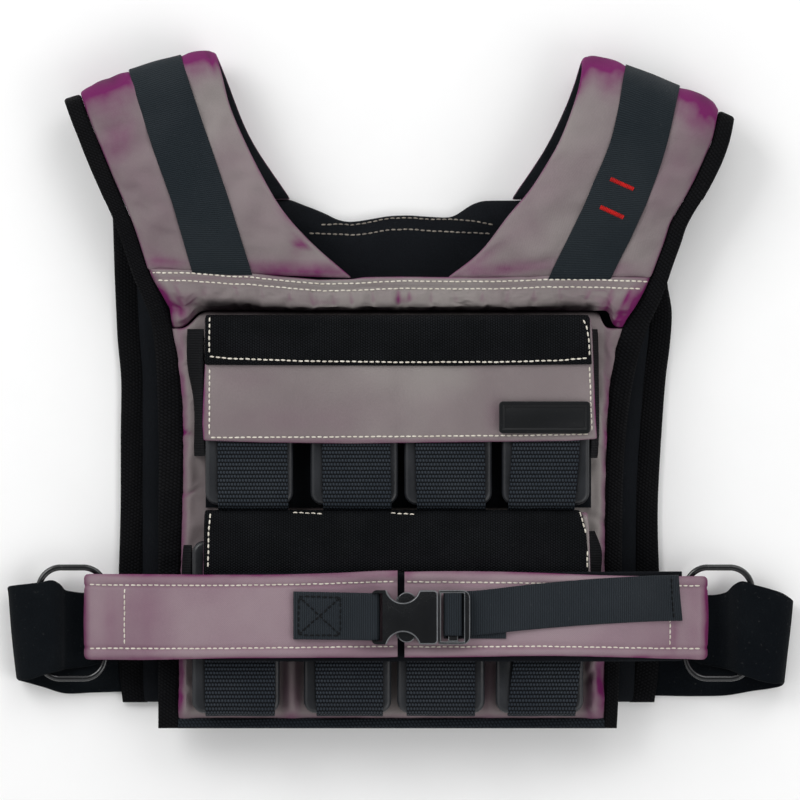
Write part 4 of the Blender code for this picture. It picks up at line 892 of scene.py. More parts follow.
def makePad(side):
    rows = curveRows(strapStops(side), 0.0062)
    normals = rowNormals(rows)
    shares = webShares(side, rows, normals)
    columns = [0, 0.02, 0.05, 0.09, 0.14] + [mix(0.19, 0.81, k / 10) for k in range(11)]
    columns += [0.86, 0.91, 0.95, 0.98, 1]
    seed = 1.0 if side == "left" else 4.0

    def place(u, k):
        left, right, thick, at = rows[k]
        first, last = shares[k]
        spot = left.lerp(right, u)
        under = smooth((u - first + 0.06) / 0.06) * smooth((last + 0.06 - u) / 0.06)
        crease = 0.0012 * wave(spot.x * 55, spot.y * 42, seed) * (1 - under)
        half = thick * padCrown(u) / 2 * (1 - 0.05 * under)
        top = spot + normals[k] * (half + crease * min(1.0, min(u, 1 - u) * 8))
        weave = (u * (right - left).length, at)
        # The tint is painted sheen and shade from the pad's marks
        return top, spot - normals[k] * half * 0.96, weave, paintedSheenAndShade(spot, padMarks[side])

    def pin(u, v, level):
        column = columns[round(u * (len(columns) - 1))]
        first, last = shares[round(v * (len(shares) - 1))]
        held = 1.0 if column < 0.03 or column > 0.97 or v < 0.02 or v > 0.98 else 0.0
        return 1.0 if first - 0.03 < column < last + 0.03 else held

    made = sewnPad("shoulderPad" + side.capitalize(), gridsOf(columns, range(len(rows)), place), {
        "finish": greyCloth, "under": blackCloth, "slot": "grey_cloth", "stands": ["shoulder_pad_" + side],
        "pin": pin, "pressure": 3.0, "ease": 0.045, "cap": 0.0032, "bend": 0.08, "frames": 16,
    })
    return rows, normals, shares


def makeShoulderWebbing(side, rows, normals, shares):
    # Flat webbing sewn along the pad, its top edge folded over with it
    stops = []
    for (left, right, thick, _), normal, (first, last) in list(zip(rows, normals, shares))[:-5:3]:
        height = normal * (thick * 1.06 / 2 * 0.95 + 0.0010)
        stops.append((left.lerp(right, first) + height, left.lerp(right, last) + height, 0.0016))

    def lift(u, share, spot):
        return 0.00045 * wave(spot.x * 30, spot.y * 60, 2) + 0.0006 * bump(u, 0.5, 0.5)

    made = strip("shoulderWebbing" + side.capitalize(), stops, {
        "finish": strapWebbing, "slot": "webbing", "stands": ["shoulder_webbing_" + side], "columns": 12,
        "step": 0.003, "lift": lift,
    })


padRows = {}
for side in ("left", "right"):
    padRows[side] = makePad(side)
    makeShoulderWebbing(side, *padRows[side])
print("shoulder straps made")

# Edge tape of the front, in pixels from the bottom up: outer edge, inner edge
frontTape = {
    "left": [
        (158, 728.5, 178, 728.5), (158, 700, 178.5, 700), (158, 560, 181, 560), (158, 420, 183, 420),
        (157, 386, 181, 386), (154.5, 348, 176, 349), (151, 322, 171.5, 329), (143, 300, 164, 300),
        (133, 277, 150.5, 274),
    ],
    "right": [
        (604, 728.5, 617, 728.5), (604.5, 700, 618.5, 700), (605, 560, 622, 560), (607, 440, 625.5, 440),
        (610, 386, 632, 389), (617, 345, 640.5, 350), (626, 321, 648.5, 327), (640, 300, 659.5, 303),
        (651.5, 278, 668, 281),
    ],
}


def makeSideTape(side):
    # One tape from the front's bottom corner up its side, round the shoulder fold and down to the back seam
    wide, tuck = 0.0138, 0.0002
    z = levels["frontEdge"]
    stops = [(seen(lx, ly, z), seen(rx, ry, z), 0.0058) for lx, ly, rx, ry in frontTape[side]]
    for left, right, *_ in padRows[side][0][2::3]:
        outward = (left - right).normalized()
        inner = left + outward * tuck if side == "left" else right - outward * tuck
        outer = inner + outward * (wide if side == "left" else -wide)
        stops.append((outer, inner, 0.0052) if side == "left" else (inner, outer, 0.0052))

    def swell(u, share):
        return 0.86 + (0.14 * math.sin(share * 900) + 0.10) * bump(u, 0.5, 0.5)

    strip("edgeTape" + side.capitalize(), stops, {
        "finish": edgeTape, "slot": "edge_tape", "columns": 7, "step": 0.0035, "swell": swell,
        "stands": ["front_binding_" + side, "shoulder_binding_" + side], "lift": ripple(0.0005, 90, 130, 3),
    })


for side in ("left", "right"):
    makeSideTape(side)
print("edge tapes made")

# Back panel's side edges and its neckline, in pixels
backEdges = [
    (703, 122, 655), (690, 120.5, 657), (490, 120, 659), (437, 120, 662), (373, 120, 667), (341, 117, 671),
    (312, 115.5, 672.5), (277, 114, 668), (216, 112, 690),
]
backTapeWide = 25
neckline = [
    (120, 200.5), (262, 200.5), (272, 198), (290, 198.5), (300, 203), (315, 208.5), (328, 214),
    (337, 219.5), (351, 221.5), (370, 218.5), (389, 215), (409, 214.5), (430, 216), (448, 217),
    (456, 215.5), (466, 207), (479, 200.2), (495, 199.7), (520, 199.7), (690, 199.7),
]
# Folds at the neck: pixel, half width, height in millimetres, lean
neckFolds = [
    (308, 12, 2.2, -0.45), (324, 9, 3.0, -0.55), (341, 7, 1.8, -0.3), (462, 8, 3.2, 0.7),
    (480, 10, 2.6, 0.5), (500, 9, 2.0, 0.3),
]


# Its foot in pixels, how far it runs under the tape, how steeply its rim rises, and how its neckline dips
backField = {
    "foot": 703, "inset": backTapeWide - 4, "rimAcross": 30, "rimDown": 22, "thin": 0.55, "dip": 0.9,
    "uneven": 0.5,
}


def makeBackPanel():

    def place(u, v):
        px = mix(mix(122, 655, u), mix(116, 684, u), v)
        top = fromTable(neckline, px, 1)
        py = mix(backField["foot"], top, v)
        px = acrossRow(backEdges, py, u, backField["inset"])
        py = mix(backField["foot"], fromTable(neckline, px, 1), v)
        down = py - top
        rim = min(1.0, min(u, 1 - u) * backField["rimAcross"], min(v, 1 - v) * backField["rimDown"])
        z = levels["backTop"] * mix(backField["thin"], 1, math.sin(rim * math.pi / 2))
        for fx, half, deep, lean in neckFolds:
            near = math.exp(-((down - 4) / 26) ** 2)
            z += deep * bump(px - down * lean, fx, half) * near
        z -= backField["dip"] * bump(down, 9, 9)
        z -= backField["uneven"] * abs(wave(px * 0.05, py * 0.02, 5)) * rim
        return seen(px, py, z), seen(px, py, 0.15 + 1.2 * (1 - rim)), weavePlace(px, py), 0.0

    made = sewnPad("backPanel", gridsOf(evenShares(72), evenShares(60), place), {
        "finish": blackCloth, "slot": "black_cloth", "stands": ["back_panel"],
    })
    for side, column, inward in (("Left", 0, 1), ("Right", 1, -1)):
        stops = []
        for py, *edges in backEdges:
            left, right = sorted((edges[column], edges[column] + inward * backTapeWide))
            z = levels["backEdge"]
            stops.append((seen(left, py, z), seen(right, py, z), 0.0064))
        strip("backTape" + side, stops, {
            "finish": edgeTape, "slot": "edge_tape", "columns": 8,
            "stands": ["back_binding_" + side.lower()],
            "lift": ripple(0.0004, 80, 120, 6),
            "swell": lambda u, share: 0.84 + 0.16 * bump(u, 0.5, 0.5),
        })


makeBackPanel()
print("back panel made")

# The grey field's side edges down the front, in pixels: row, left, right
fieldEdges = [
    (268, 147.5, 651.5), (277, 151, 651), (291, 159, 645), (300, 164, 640), (308, 169, 635.5),
    (320, 170.5, 627), (332, 173, 622), (349, 176.5, 617), (386, 181, 610.5), (420, 183, 607.5),
    (456, 183, 607), (540, 181.5, 605), (718, 178.5, 604),
]
chest = {
    "foot": 310.5, "sag": 17.0, "columns": 132, "rows": 30, "seat": 13.2, "hem": 1.6, "puff": 5.2,
    "tucked": 5.5, "gatherStart": 9, "leanFrom": 16, "gatherSheenAndShade": 0.3, "rim": 34, "thin": 0.55, "lining": 0.4,
}
# Gathers across the chest band: pixel, half width, depth in millimetres, lean down the band
gathers = [
    (158, 9, 3.0, 0.3), (176, 7, 1.4, 0.2), (205, 10, 0.9, -0.1), (236, 8, 1.0, 0.1), (262, 9, 0.8, 0.1),
    (290, 8, 1.1, -0.2), (312, 8, 1.3, 0.2), (334, 9, 0.8, 0.0), (352, 6, 1.2, 0.1), (372, 8, 1.1, 0.2),
    (398, 7, 3.6, 0.1), (410, 6, 1.6, -0.3), (432, 8, 1.0, -0.1), (455, 9, 0.8, 0.2), (482, 8, 1.0, 0.1),
    (508, 9, 0.9, -0.1), (534, 8, 1.1, 0.0), (560, 9, 0.9, 0.1), (588, 8, 1.3, -0.2), (612, 8, 1.6, -0.3),
    (630, 7, 2.4, -0.5), (643, 6, 1.8, -0.4),
]
# Painted sheen and shade on the chest band: wine red and dark creases in the gathers and at its corners, a
# painted shade band along the hem
chestMarks = [
    (398, 304, 4, 9, 8, 0.6), (405, 300, 14, 4, -20, 0.25), (158, 300, 9, 12, 30, 0.85),
    (172, 309, 16, 7, 10, 0.80), (190, 300, 26, 8, 0, 0.35), (634, 300, 9, 20, 24, 0.75),
    (622, 320, 6, 10, 10, 0.8), (600, 305, 16, 8, 0, 0.3), (250, 305, 30, 4, 0, 0.28),
    (320, 304, 22, 5, 0, 0.25), (460, 305, 36, 4, 0, 0.26), (540, 304, 30, 5, 0, 0.30),
    (400, 278, 260, 2.2, 0, 0.4), (400, 286, 300, 9, 0, -0.24), (148, 276, 6, 8, 0, 0.5),
    (650, 284, 5, 12, 15, 0.6),
]
hemRows = [
    (147.5, 268), (190, 268.5), (230, 272), (250, 272.5), (281, 276), (319, 279.5), (352, 279), (364, 277),
    (400, 276.5), (446, 277), (502, 277), (547, 275), (600, 275.5), (651.5, 277),
]


def chestFoot(px):
    # The band's lower edge runs level over the pockets and sags beside them
    return chest["foot"] + chest["sag"] * (smooth((206 - px) / 26) + smooth((px - 596) / 22))


def makeChestBand():
    def place(u, v):
        px = mix(149, 648, u)
        for _ in range(2):
            py = mix(fromTable(hemRows, px, 1), chestFoot(px), v)
            px = acrossRow(fieldEdges, py, u, 0.3)
        down = py - fromTable(hemRows, px, 1)
        puffed = math.sin(math.pi * min(1.0, max(0.0, (down - 10) / 27))) ** 0.7 if down > 10 else 0.0
        # The two stitch rows press it in
        z = chest["seat"] + chest["hem"] * smooth(down / 4) + humps(down, (-1.1, 12.5, 4), (-0.5, 4.6, 3))
        z += chest["puff"] * puffed - chest["tucked"] * smooth((v - 0.86) / 0.14)
        below, fold, gatherSheenAndShade = smooth((down - chest["gatherStart"]) / 7), 0.0, 0.0
        for gx, half, deep, lean in gathers:
            leaning = px - (down - chest["leanFrom"]) * lean
            fold += deep * bump(leaning, gx, half) * below
            # Painted sheen and shade along each gather's fold
            gatherSheenAndShade += chest["gatherSheenAndShade"] * min(2.0, deep) * bump(leaning, gx, half * 0.5)
        z += 0.35 * wave(px * 0.19, py * 0.12, 9) * puffed - fold
        z *= mix(chest["thin"], 1, math.sin(min(1.0, min(u, 1 - u) * chest["rim"]) * math.pi / 2))
        # Painted shade: the band's lower roll goes near black; elsewhere the tint is the marks' and gathers'
        # painted sheen and shade
        rolled = smooth((down - 21) / 13) * (1 - smooth((212 - px) / 22)) * (1 - smooth((px - 588) / 16))
        wine = paintedSheenAndShade(seen(px, py), chestMarks) + gatherSheenAndShade * below
        seat = levels["hollowTop"]
        tint = wine * (1 - rolled) - rolled * 0.96
        return seen(px, py, seat + z), seen(px, py, seat + chest["lining"]), weavePlace(px, py), tint

    made = sewnPad("chestBand", gridsOf(evenShares(chest["columns"]), evenShares(chest["rows"]), place), {
        "finish": greyCloth, "slot": "grey_cloth", "stands": ["chest_band"],
        "pin": lambda u, v, level: 1.0 if level or v < 0.40 or v > 0.97 or min(u, 1 - u) < 0.008 else 0.0,
        "pressure": 3.0, "ease": 0.06, "cap": 0.0022, "bend": 0.06, "frames": 14,
    })


def makeFrontPanel():
    folds = [
        (186, 433, 9, 2.2, 20), (191, 493, 10, 2.0, -15), (600, 520, 8, 2.0, 30), (590, 676, 10, 3.0, -60),
        (596, 700, 9, 2.6, 40), (186, 690, 8, 2.2, 60),
    ]
    # Painted sheen and shade as wine red along its edges, folds and beside the weights; the negative marks
    # are painted shade under the chest band and beside the pockets
    marks = [
        (182, 450, 4, 190, 0, 0.55), (607, 430, 5, 120, 0, 0.7), (603, 560, 4, 160, 0, 0.5),
        (595, 690, 9, 30, 10, 0.6), (180, 690, 4, 30, 0, 0.5), (186, 433, 8, 2, 20, 0.6),
        (191, 493, 10, 2, -15, 0.6), (291, 690, 8, 20, 0, 0.15), (400, 719, 220, 3, 0, 0.3),
        (486, 685, 10, 26, 5, 0.3), (400, 312, 420, 4, 0, -1.1), (602, 390, 7, 95, 0, -0.42),
        (602, 500, 7, 40, 0, -0.3), (196, 480, 8, 30, 0, -0.25),
    ]
    foot, thick, thin, rimWide = 721.0, 10.0, 0.45, 10
    # Where its cloth puffs up beside the weights, all the way down and beside the lower ones
    sides, lower = (0.9, 186, 14), [(9.0, 291.6, 12), (3.0, 490, 6), (7.0, 594, 10), (5.0, 185, 8)]

    def place(u, v):
        px = mix(180, 605, u)
        for _ in range(2):
            py = mix(chestFoot(px) + 0.6, foot, v)
            px = acrossRow(fieldEdges, py, u, -2.0)
        rim = min(u * 430, (1 - u) * 430, foot - py)
        z = thick * mix(thin, 1, math.sin(min(1.0, max(0.0, rim - 1) / rimWide) * math.pi / 2))
        z += 1.6 * bump(px, 594, 13) * smooth((py - 640) / 20) + humps(px, sides)
        for fx, fy, length, deep, turn in folds:
            c, s = math.cos(math.radians(turn)), math.sin(math.radians(turn))
            a, b = (px - fx) * c + (py - fy) * s, (py - fy) * c - (px - fx) * s
            z -= deep * bump(a, 0, length * 1.6) * bump(b, 0, 5)
        z = min(z + 0.25 * wave(px * 0.12, py * 0.10, 12), thick if 204 < px < 588 else thick + 2)
        z += levels["hollowTop"] + humps(px, *lower) * smooth((py - 648) / 14) * smooth((722 - py) / 16)
        under = seen(px, py, levels["hollowTop"])
        # Its tint is painted sheen and shade from the marks
        return seen(px, py, z), under, weavePlace(px, py), paintedSheenAndShade(seen(px, py), marks)

    def pin(u, v, level):
        inside = 0.075 < u < 0.945 or min(u, 1 - u) < 0.006
        return 1.0 if level or inside or v > 0.985 or v < 0.01 else 0.0

    made = sewnPad("frontPanel", gridsOf(evenShares(96), evenShares(100), place), {
        "finish": greyCloth, "under": blackCloth, "slot": "grey_cloth", "stands": ["front_panel"],
        "pin": pin, "pressure": 2.0, "ease": 0.05, "cap": 0.0015, "bend": 0.06, "frames": 12,
    })
    stops = [(seen(px, 728.6, 29.2), seen(px, 718.3, 29.2), 0.0062) for px in (177.8, 300, 400, 500, 604.8)]
    strip("edgeTapeBottom", stops, {
        "finish": footTape, "slot": "edge_tape", "columns": 5, "stands": ["front_binding_bottom"],
        "flip": True, "lift": ripple(0.0004, 110, 60, 4),
    })


makeChestBand()
makeFrontPanel()
print("chest band and front panel made")


def choose(made, kind, test):
    # Edit mode with only the corners, edges or faces that pass the test selected
    bpy.ops.object.mode_set(mode="OBJECT")
    bpy.ops.object.mode_set(mode="EDIT")
    bpy.ops.mesh.select_mode(type=kind)
    bpy.ops.mesh.select_all(action="DESELECT")
    bpy.ops.object.mode_set(mode="OBJECT")
    for item in {"VERT": made.data.vertices, "EDGE": made.data.edges, "FACE": made.data.polygons}[kind]:
        item.select = test(item)
    bpy.ops.object.mode_set(mode="EDIT")


def bevelUprights(made, test, width, segments):
    # Rounds the upright edges whose place passes the test, width in millimetres
    def upright(edge):
        a, b = (made.data.vertices[k].co for k in edge.vertices)
        return abs(a.z - b.z) > 0.001 and (a - b).xy.length < 0.0001 and test(a)

    choose(made, "EDGE", upright)
    bpy.ops.mesh.bevel(offset=width * mm, segments=segments)
    bpy.ops.object.mode_set(mode="OBJECT")


def addBlock(name, low, high):
    # A cube primitive sized and placed by its corners in millimetres, place kept in its mesh
    bpy.ops.object.select_all(action="DESELECT")
    bpy.ops.mesh.primitive_cube_add(size=1.0)
    made = bpy.context.object
    made.name = name
    made.scale = [(b - a) * mm for a, b in zip(low, high)]
    made.location = [(a + b) / 2 * mm for a, b in zip(low, high)]
    bpy.ops.object.transform_apply(location=True, rotation=True, scale=True)
    return made


def hardPiece(made, material, node, angle=35):
    activate(made)
    bpy.ops.object.shade_smooth_by_angle(angle=math.radians(angle))
    if not made.data.materials:
        made.data.materials.append(material)
    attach(made, "root")
    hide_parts(node)


# Weights: cast blocks with round corners and a soft edge, middles from the frame's own boxes
weight = {"corner": 10.0, "edge": 3.6, "rim": 6.0, "step": 1.2, "dish": 0.5}


def makeWeights():
    low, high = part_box("weight_1")
    size = (high - low) / mm
    first = addBlock("ironBlock", (-size.x / 2, -size.y / 2, 0), (size.x / 2, size.y / 2, size.z))
    bevelUprights(first, lambda a: True, weight["corner"], 6)
    choose(first, "FACE", lambda face: abs(face.normal.z) > 0.9)
    bpy.ops.mesh.bevel(offset=weight["edge"] * mm, segments=4)
    choose(first, "FACE", lambda face: face.normal.z > 0.9 and face.area > 0.003)
    bpy.ops.mesh.inset(thickness=weight["rim"] * mm)
    bpy.ops.mesh.inset(thickness=weight["step"] * mm, depth=-weight["dish"] * mm)
    bpy.ops.object.mode_set(mode="OBJECT")
    for number in range(1, 9):
        low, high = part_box(f"weight_{number}")
        made = first if number == 8 else first.copy()
        if number < 8:
            made.data = first.data.copy()
            bpy.context.scene.collection.objects.link(made)
        made.name = f"ironBlock{number}"
        made.location = ((low.x + high.x) / 2, (low.y + high.y) / 2, low.z)
        activate(made)
        bpy.ops.object.transform_apply(location=True)
        hardPiece(made, castIron, f"weight_{number}")


# Loops round the weights: left and right edge in pixels at the top and at the bottom of what shows
loops = {
    1: (217.6, 287.0, 218.2, 288.5), 2: (322.0, 390.0, 323.0, 391.5), 3: (415.0, 484.5, 417.0, 485.5),
    4: (513.0, 580.5, 508.0, 574.5), 5: (204.5, 275.5, 205.5, 275.0), 6: (314.5, 383.0, 316.5, 383.0),
    7: (406.5, 475.0, 406.5, 475.0), 8: (515.5, 583.0, 507.5, 575.5),
}
ribStep = 0.00317  # how far apart the loops' cross ribs lie, in metres


def makeLoops():
    for number, (topLeft, topRight, footLeft, footRight) in loops.items():
        low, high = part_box(f"weight_{number}")
        seat, over = low.z / mm, high.z / mm + 1.35
        head = pixelsOf(high)[1] + 15
        end = pixelsOf(low)[1] + (3.2 if number < 5 else 0)
        stops = []
        for py, z in (
            (head, over), (end - 60, over + 0.3), (end - 22, over + 0.35), (end - 8.5, over - 0.3),
            (end - 3.0, over - 2.0), (end + 0.4, over - 5.5), (end + 1.5, over - 9.5),
            (end + 1.6, seat + 2.2),
        ):
            share = min(1.0, max(0.0, (py - (end - 75)) / 75))
            left, right = mix(topLeft, footLeft, share), mix(topRight, footRight, share)
            stops.append((seen(left, py, z), seen(right, py, z), 0.0019))

        def lift(u, share, spot):
            ribs = abs(math.sin(spot.y / ribStep * math.pi))
            return 0.00035 * wave(spot.x * 60, spot.y * 90, number) + 0.0002 * ribs

        made = strip(f"weightLoop{number}", stops, {
            "finish": loopWebbing, "slot": "webbing", "stands": [f"weight_loop_{number}"], "columns": 16,
            "step": 0.0008, "flip": True, "lift": lift,
        })


makeWeights()
makeLoops()
print("weights and loops made")

# Flaps: side edges in pixels down the flap, and the height of its cloth over the weights
flaps = {
    "upper": {
        "edges": [
            (316, 206.5, 590), (330, 206, 592), (366, 205, 593.5), (405, 203, 595), (425, 202.5, 596),
            (440.5, 203.5, 597),
        ],
        "end": [(203, 440.5), (260, 442.5), (350, 443.6), (480, 442), (569, 441), (597, 438.8)],
        "level": 60.7, "root": 317.0, "slots": (205.5, 291, 309, 400, 404, 492, 501, 590),
        # Painted sheen as wine red along the flap's edges, fainter across it
        "marks": [
            (203.5, 405, 3.0, 44, 0, 0.75), (398, 441.5, 210, 2.4, 0, 0.42), (596, 410, 2.5, 40, 0, 0.6),
            (495, 415, 10, 16, 0, 0.16), (300, 420, 90, 16, 0, 0.10), (240, 380, 50, 12, 0, 0.06),
        ],
        "band": [(315.5, 206, 588), (319, 205, 590), (335, 205, 590), (366.5, 205, 592)],
        "bandEnd": [(205, 365), (300, 365.5), (450, 366), (592, 364.5)],
    },
    "lower": {
        "edges": [
            (509, 204.5, 587), (530, 204, 589), (573, 203, 590.5), (620, 203, 590.5), (636, 203, 590.5),
        ],
        "end": [(203, 636), (590, 636)],
        "level": 58.4, "root": 512.0, "slots": (192, 279.5, 303.7, 391, 397, 485, 495.5, 583),
        "marks": [(203.5, 590, 3, 40, 0, 0.5)],
        "band": [
            (508, 206, 577), (513, 204.5, 582), (530, 204, 586), (560, 203.5, 588.5), (573, 203.5, 588.5),
        ],
        "bandEnd": [(203, 576), (590, 576)],
    },
}


def sag(px, py, plan, root):
    # The cloth lies on the weights and hangs a little between and beside them
    a = plan["slots"]
    hang = 0.0
    for first, last in ((a[1], a[2]), (a[3], a[4]), (a[5], a[6])):
        wide = last - first
        hang += min(2.2, wide * 0.14 + 0.7) * bump(px, (first + last) / 2, wide / 2 + 13)
    hang += 1.6 * smooth((a[0] + 6 - px) / 12) + 1.2 * smooth((px - a[7] + 6) / 12)
    return hang * smooth((py - root - 26) / 40)


def roll(py, start, reach, drop):
    # How far the flap's rounded root lies below its level
    share = min(1.0, (py - start) / reach)
    return drop * (1 - math.sqrt(max(0.0, 1 - (1 - share) ** 2))) if share < 1 else 0.0


def onFlap(plan, edges, end, px, py):
    # How far inside its outline a place lies
    left, right = fromTable(plan[edges], py, 1), fromTable(plan[edges], py, 2)
    return min(px - left, right - px, fromTable(plan[end], px, 1) - py)


def makeFlap(which):
    plan = flaps[which]
    root = plan["root"]

    def place(u, v):
        py = mix(root, fromTable(plan["end"], mix(204, 594, u), 1), v)
        px = acrossRow(plan["edges"], py, u)
        py = mix(root, fromTable(plan["end"], px, 1), v)
        z = plan["level"] - roll(py, root, 8.5, 9.0)
        z -= sag(px, py, plan, root) - 0.25 * wave(px * 0.045, py * 0.06, 3)
        edge = onFlap(plan, "edges", "end", px, py)
        rounding = smooth(edge / 1.6)
        full = 1.35 * (0.35 + 0.65 * rounding) + 0.35 * bump(edge, 2.6, 2.6) - 0.35 * bump(edge, 6.3, 2.4)
        under = seen(px, py, z - 1.1 * (0.4 + 0.6 * rounding))
        # The tint is painted sheen along the flap's edges, from its marks
        return seen(px, py, z + full), under, weavePlace(px, py), paintedSheenAndShade(seen(px, py), plan["marks"])

    made = sewnPad(which + "Flap", gridsOf(evenShares(108), evenShares(46), place), {
        "finish": greyCloth, "under": blackCloth, "slot": "grey_cloth", "stands": [which + "_flap"],
    })


def makeHookBand(which):
    plan = flaps[which]
    root = plan["root"] - 2.2

    def place(u, v):
        py = mix(root, fromTable(plan["bandEnd"], mix(205, 590, u), 1), v)
        px = acrossRow(plan["band"], py, u)
        z = plan["level"] + 2.75 - roll(py, root, 9.5, 11.0)
        z -= sag(px, py, plan, plan["root"]) - 0.35 * wave(px * 0.05, py * 0.09, 7)
        edge = onFlap(plan, "band", "bandEnd", px, py)
        full = 1.15 * (0.35 + 0.65 * smooth(edge / 1.5)) - 0.4 * bump(edge, 5.5, 3)
        return seen(px, py, z + full), seen(px, py, z - 0.9), weavePlace(px, py), 0.0

    made = sewnPad(which + "HookBand", gridsOf(evenShares(96), evenShares(26), place), {
        "finish": hookFabric, "slot": "hook_fabric", "stands": [which + "_flap_band"],
    })


for which in flaps:
    makeFlap(which)
    makeHookBand(which)
print("flaps made")

# Pocket side walls: place along the outer foot and the inner top edge, in pixels
tabs = {
    "upper_tab_left": [
        (187.5, 329, 204.0, 329), (187.5, 366, 203.0, 366), (194, 400, 203.5, 400), (194, 456, 205, 456),
    ],
    "upper_tab_right": [
        (591.0, 329, 597.5, 329), (592, 366, 598.5, 366), (591.5, 420, 598.5, 420),
        (590.5, 458, 597.5, 458),
    ],
    "lower_tab_left": [(183.5, 545, 191.5, 545), (182.5, 572, 191.5, 572), (183, 648, 191.5, 648)],
    "lower_tab_right": [
        (584.5, 531, 595, 531), (584.5, 552, 602, 552), (584.5, 572, 601, 572), (584.5, 648, 600, 648),
    ],
}


def makeTabs():
    for name, rows in tabs.items():
        low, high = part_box(name)
        zs = [low.z / mm + 0.9, high.z / mm - 0.9]
        if "right" in name:
            zs.reverse()
        stops = [(seen(lx, ly, zs[0]), seen(rx, ry, zs[1]), 0.0018) for lx, ly, rx, ry in reversed(rows)]
        word = "".join(part.capitalize() for part in name.split("_"))
        made = strip("pocket" + word, stops, {
            "finish": tabWebbing, "slot": "webbing", "stands": [name], "columns": 6,
            "lift": ripple(0.0006, 70, 50, 8),
        })


def makeBackings():
    low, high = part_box("upper_backing")
    z = levels["backing"] * mm
    stops = [(Vector((low.x, y, z)), Vector((high.x, y, z)), 0.0018) for y in (low.y, 0.03, high.y)]
    made = strip("pocketBacking", stops, {
        "finish": blackCloth, "slot": "black_cloth", "stands": ["upper_backing"], "columns": 60,
        "lift": ripple(0.0002, 60, 50, 5),
    })


patch = {"corner": 3.0, "rim": 3.2, "wall": 0.9, "recess": 1.2, "edge": 0.4, "field": 0.6, "line": 1.1}


def makePatch():
    low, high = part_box("label_patch")
    middle, half = (low.x + high.x) / 2, (high.x - low.x) / 2
    made = addBlock("rubberPatch", tuple(x / mm for x in low), tuple(x / mm for x in high))
    choose(made, "FACE", lambda face: face.normal.z > 0.9)
    for width, deep in (("rim", 0.0), ("wall", -1.0), ("field", 0.0), ("line", 0.35)):
        bpy.ops.mesh.inset(thickness=patch[width] * mm, depth=patch["recess"] * deep * mm)
    bevelUprights(made, lambda a: abs(abs(a.x - middle) - half) < 0.0002, patch["corner"], 5)
    apply(
        made, "BEVEL", width=patch["edge"] * mm, segments=3, limit_method="ANGLE",
        angle_limit=math.radians(40),
    )
    hardPiece(made, patchRubber, "label_patch")


makeTabs()
makeBackings()
makePatch()

# The two belt halves in pixels, top edge and bottom edge, with the height of the cloth there
belt = {
    "left": [
        (397.5, 570.3, 656.5, 67.8), (390, 570.3, 656.8, 67.8), (340, 572.5, 657.2, 67.8),
        (280, 574.2, 657.6, 67.8), (220, 574.4, 658, 67.6), (198, 574.4, 658.5, 66.5),
        (180, 574.2, 659, 63.0), (160, 574.2, 659.5, 53.5), (141, 574.2, 660, 41.0),
        (124, 574.2, 660, 31.0), (108, 574.2, 660, 24.6), (96, 574.2, 660, 22.6), (90.5, 574.2, 660, 21.6),
        (87.4, 574.6, 659.6, 19.2), (86.6, 575, 659, 16.4), (87.6, 575.6, 658.4, 13.4),
        (92, 576.4, 657.4, 11.6), (103, 577, 656.6, 11.4), (111.5, 577.6, 656, 14.3),
    ],
    "right": [
        (404.5, 571.6, 657, 67.8), (412, 571.4, 657, 67.8), (470, 571, 656.6, 67.8),
        (530, 572.2, 655.6, 67.8), (585, 574.4, 656, 67.6), (602, 575, 656.5, 66.3),
        (622, 575.6, 657, 61.8), (640, 576, 657.6, 52.0), (656, 576.2, 658.4, 41.0),
        (673, 576.4, 659, 30.6), (688, 576.4, 659.4, 24.6), (698, 576.4, 660, 22.4),
        (702.5, 576.4, 660, 20.8), (704.4, 576.8, 659.6, 18.6), (704.9, 577.2, 659, 16.4),
        (704.0, 577.8, 658.4, 13.4), (700, 578.4, 657.6, 11.6), (690, 579, 657, 11.4),
        (681, 579.6, 656.4, 14.3),
    ],
}
# Painted sheen and shade as wine red along the belt halves' rolled edges and stitch rows, as for the pads
beltMarks = {
    "left": [
        (88, 617, 2.5, 44, 0, 0.4), (110, 617, 9, 30, 0, 0.22), (240, 575, 170, 2.6, 0, 0.55),
        (240, 658.5, 170, 2.4, 0, 0.5), (240, 585.5, 170, 1.8, 0, 0.30), (240, 647.5, 170, 1.8, 0, 0.30),
        (394, 573, 8, 5, 0, 0.35), (140, 610, 26, 16, 0, 0.10), (330, 600, 40, 10, 0, 0.12),
    ],
    "right": [
        (704, 617, 2.5, 42, 0, 0.9), (694, 617, 7, 36, 0, 0.16), (560, 573, 170, 2.2, 0, 0.45),
        (560, 657, 170, 2.2, 0, 0.5), (560, 647.5, 170, 1.8, 0, 0.28), (560, 585, 170, 1.6, 0, 0.25),
        (408, 574, 6, 6, 0, 0.5), (672, 632, 4, 20, 0, 0.35), (520, 645, 60, 5, 0, 0.12),
    ],
}


def beltLift(u, share, spot):
    # Puffed along its rolled edges, pressed at the stitch rows, slightly uneven between them
    d = min(u, 1 - u) * 69
    px, py = pixelsOf(spot)
    level = smooth((px - 90) / 14) * smooth((701 - px) / 14)
    up = humps(d, (0.75 * level, 4.6, 4.6), (-0.75, 9.4, 2.6), (0.5, 34, 26))
    pucker = 0.14 * math.sin(spot.x * 1300) * bump(d, 9, 5)
    return (up + 0.35 * wave(spot.x * 40, spot.y * 55, 11) + pucker) * mm


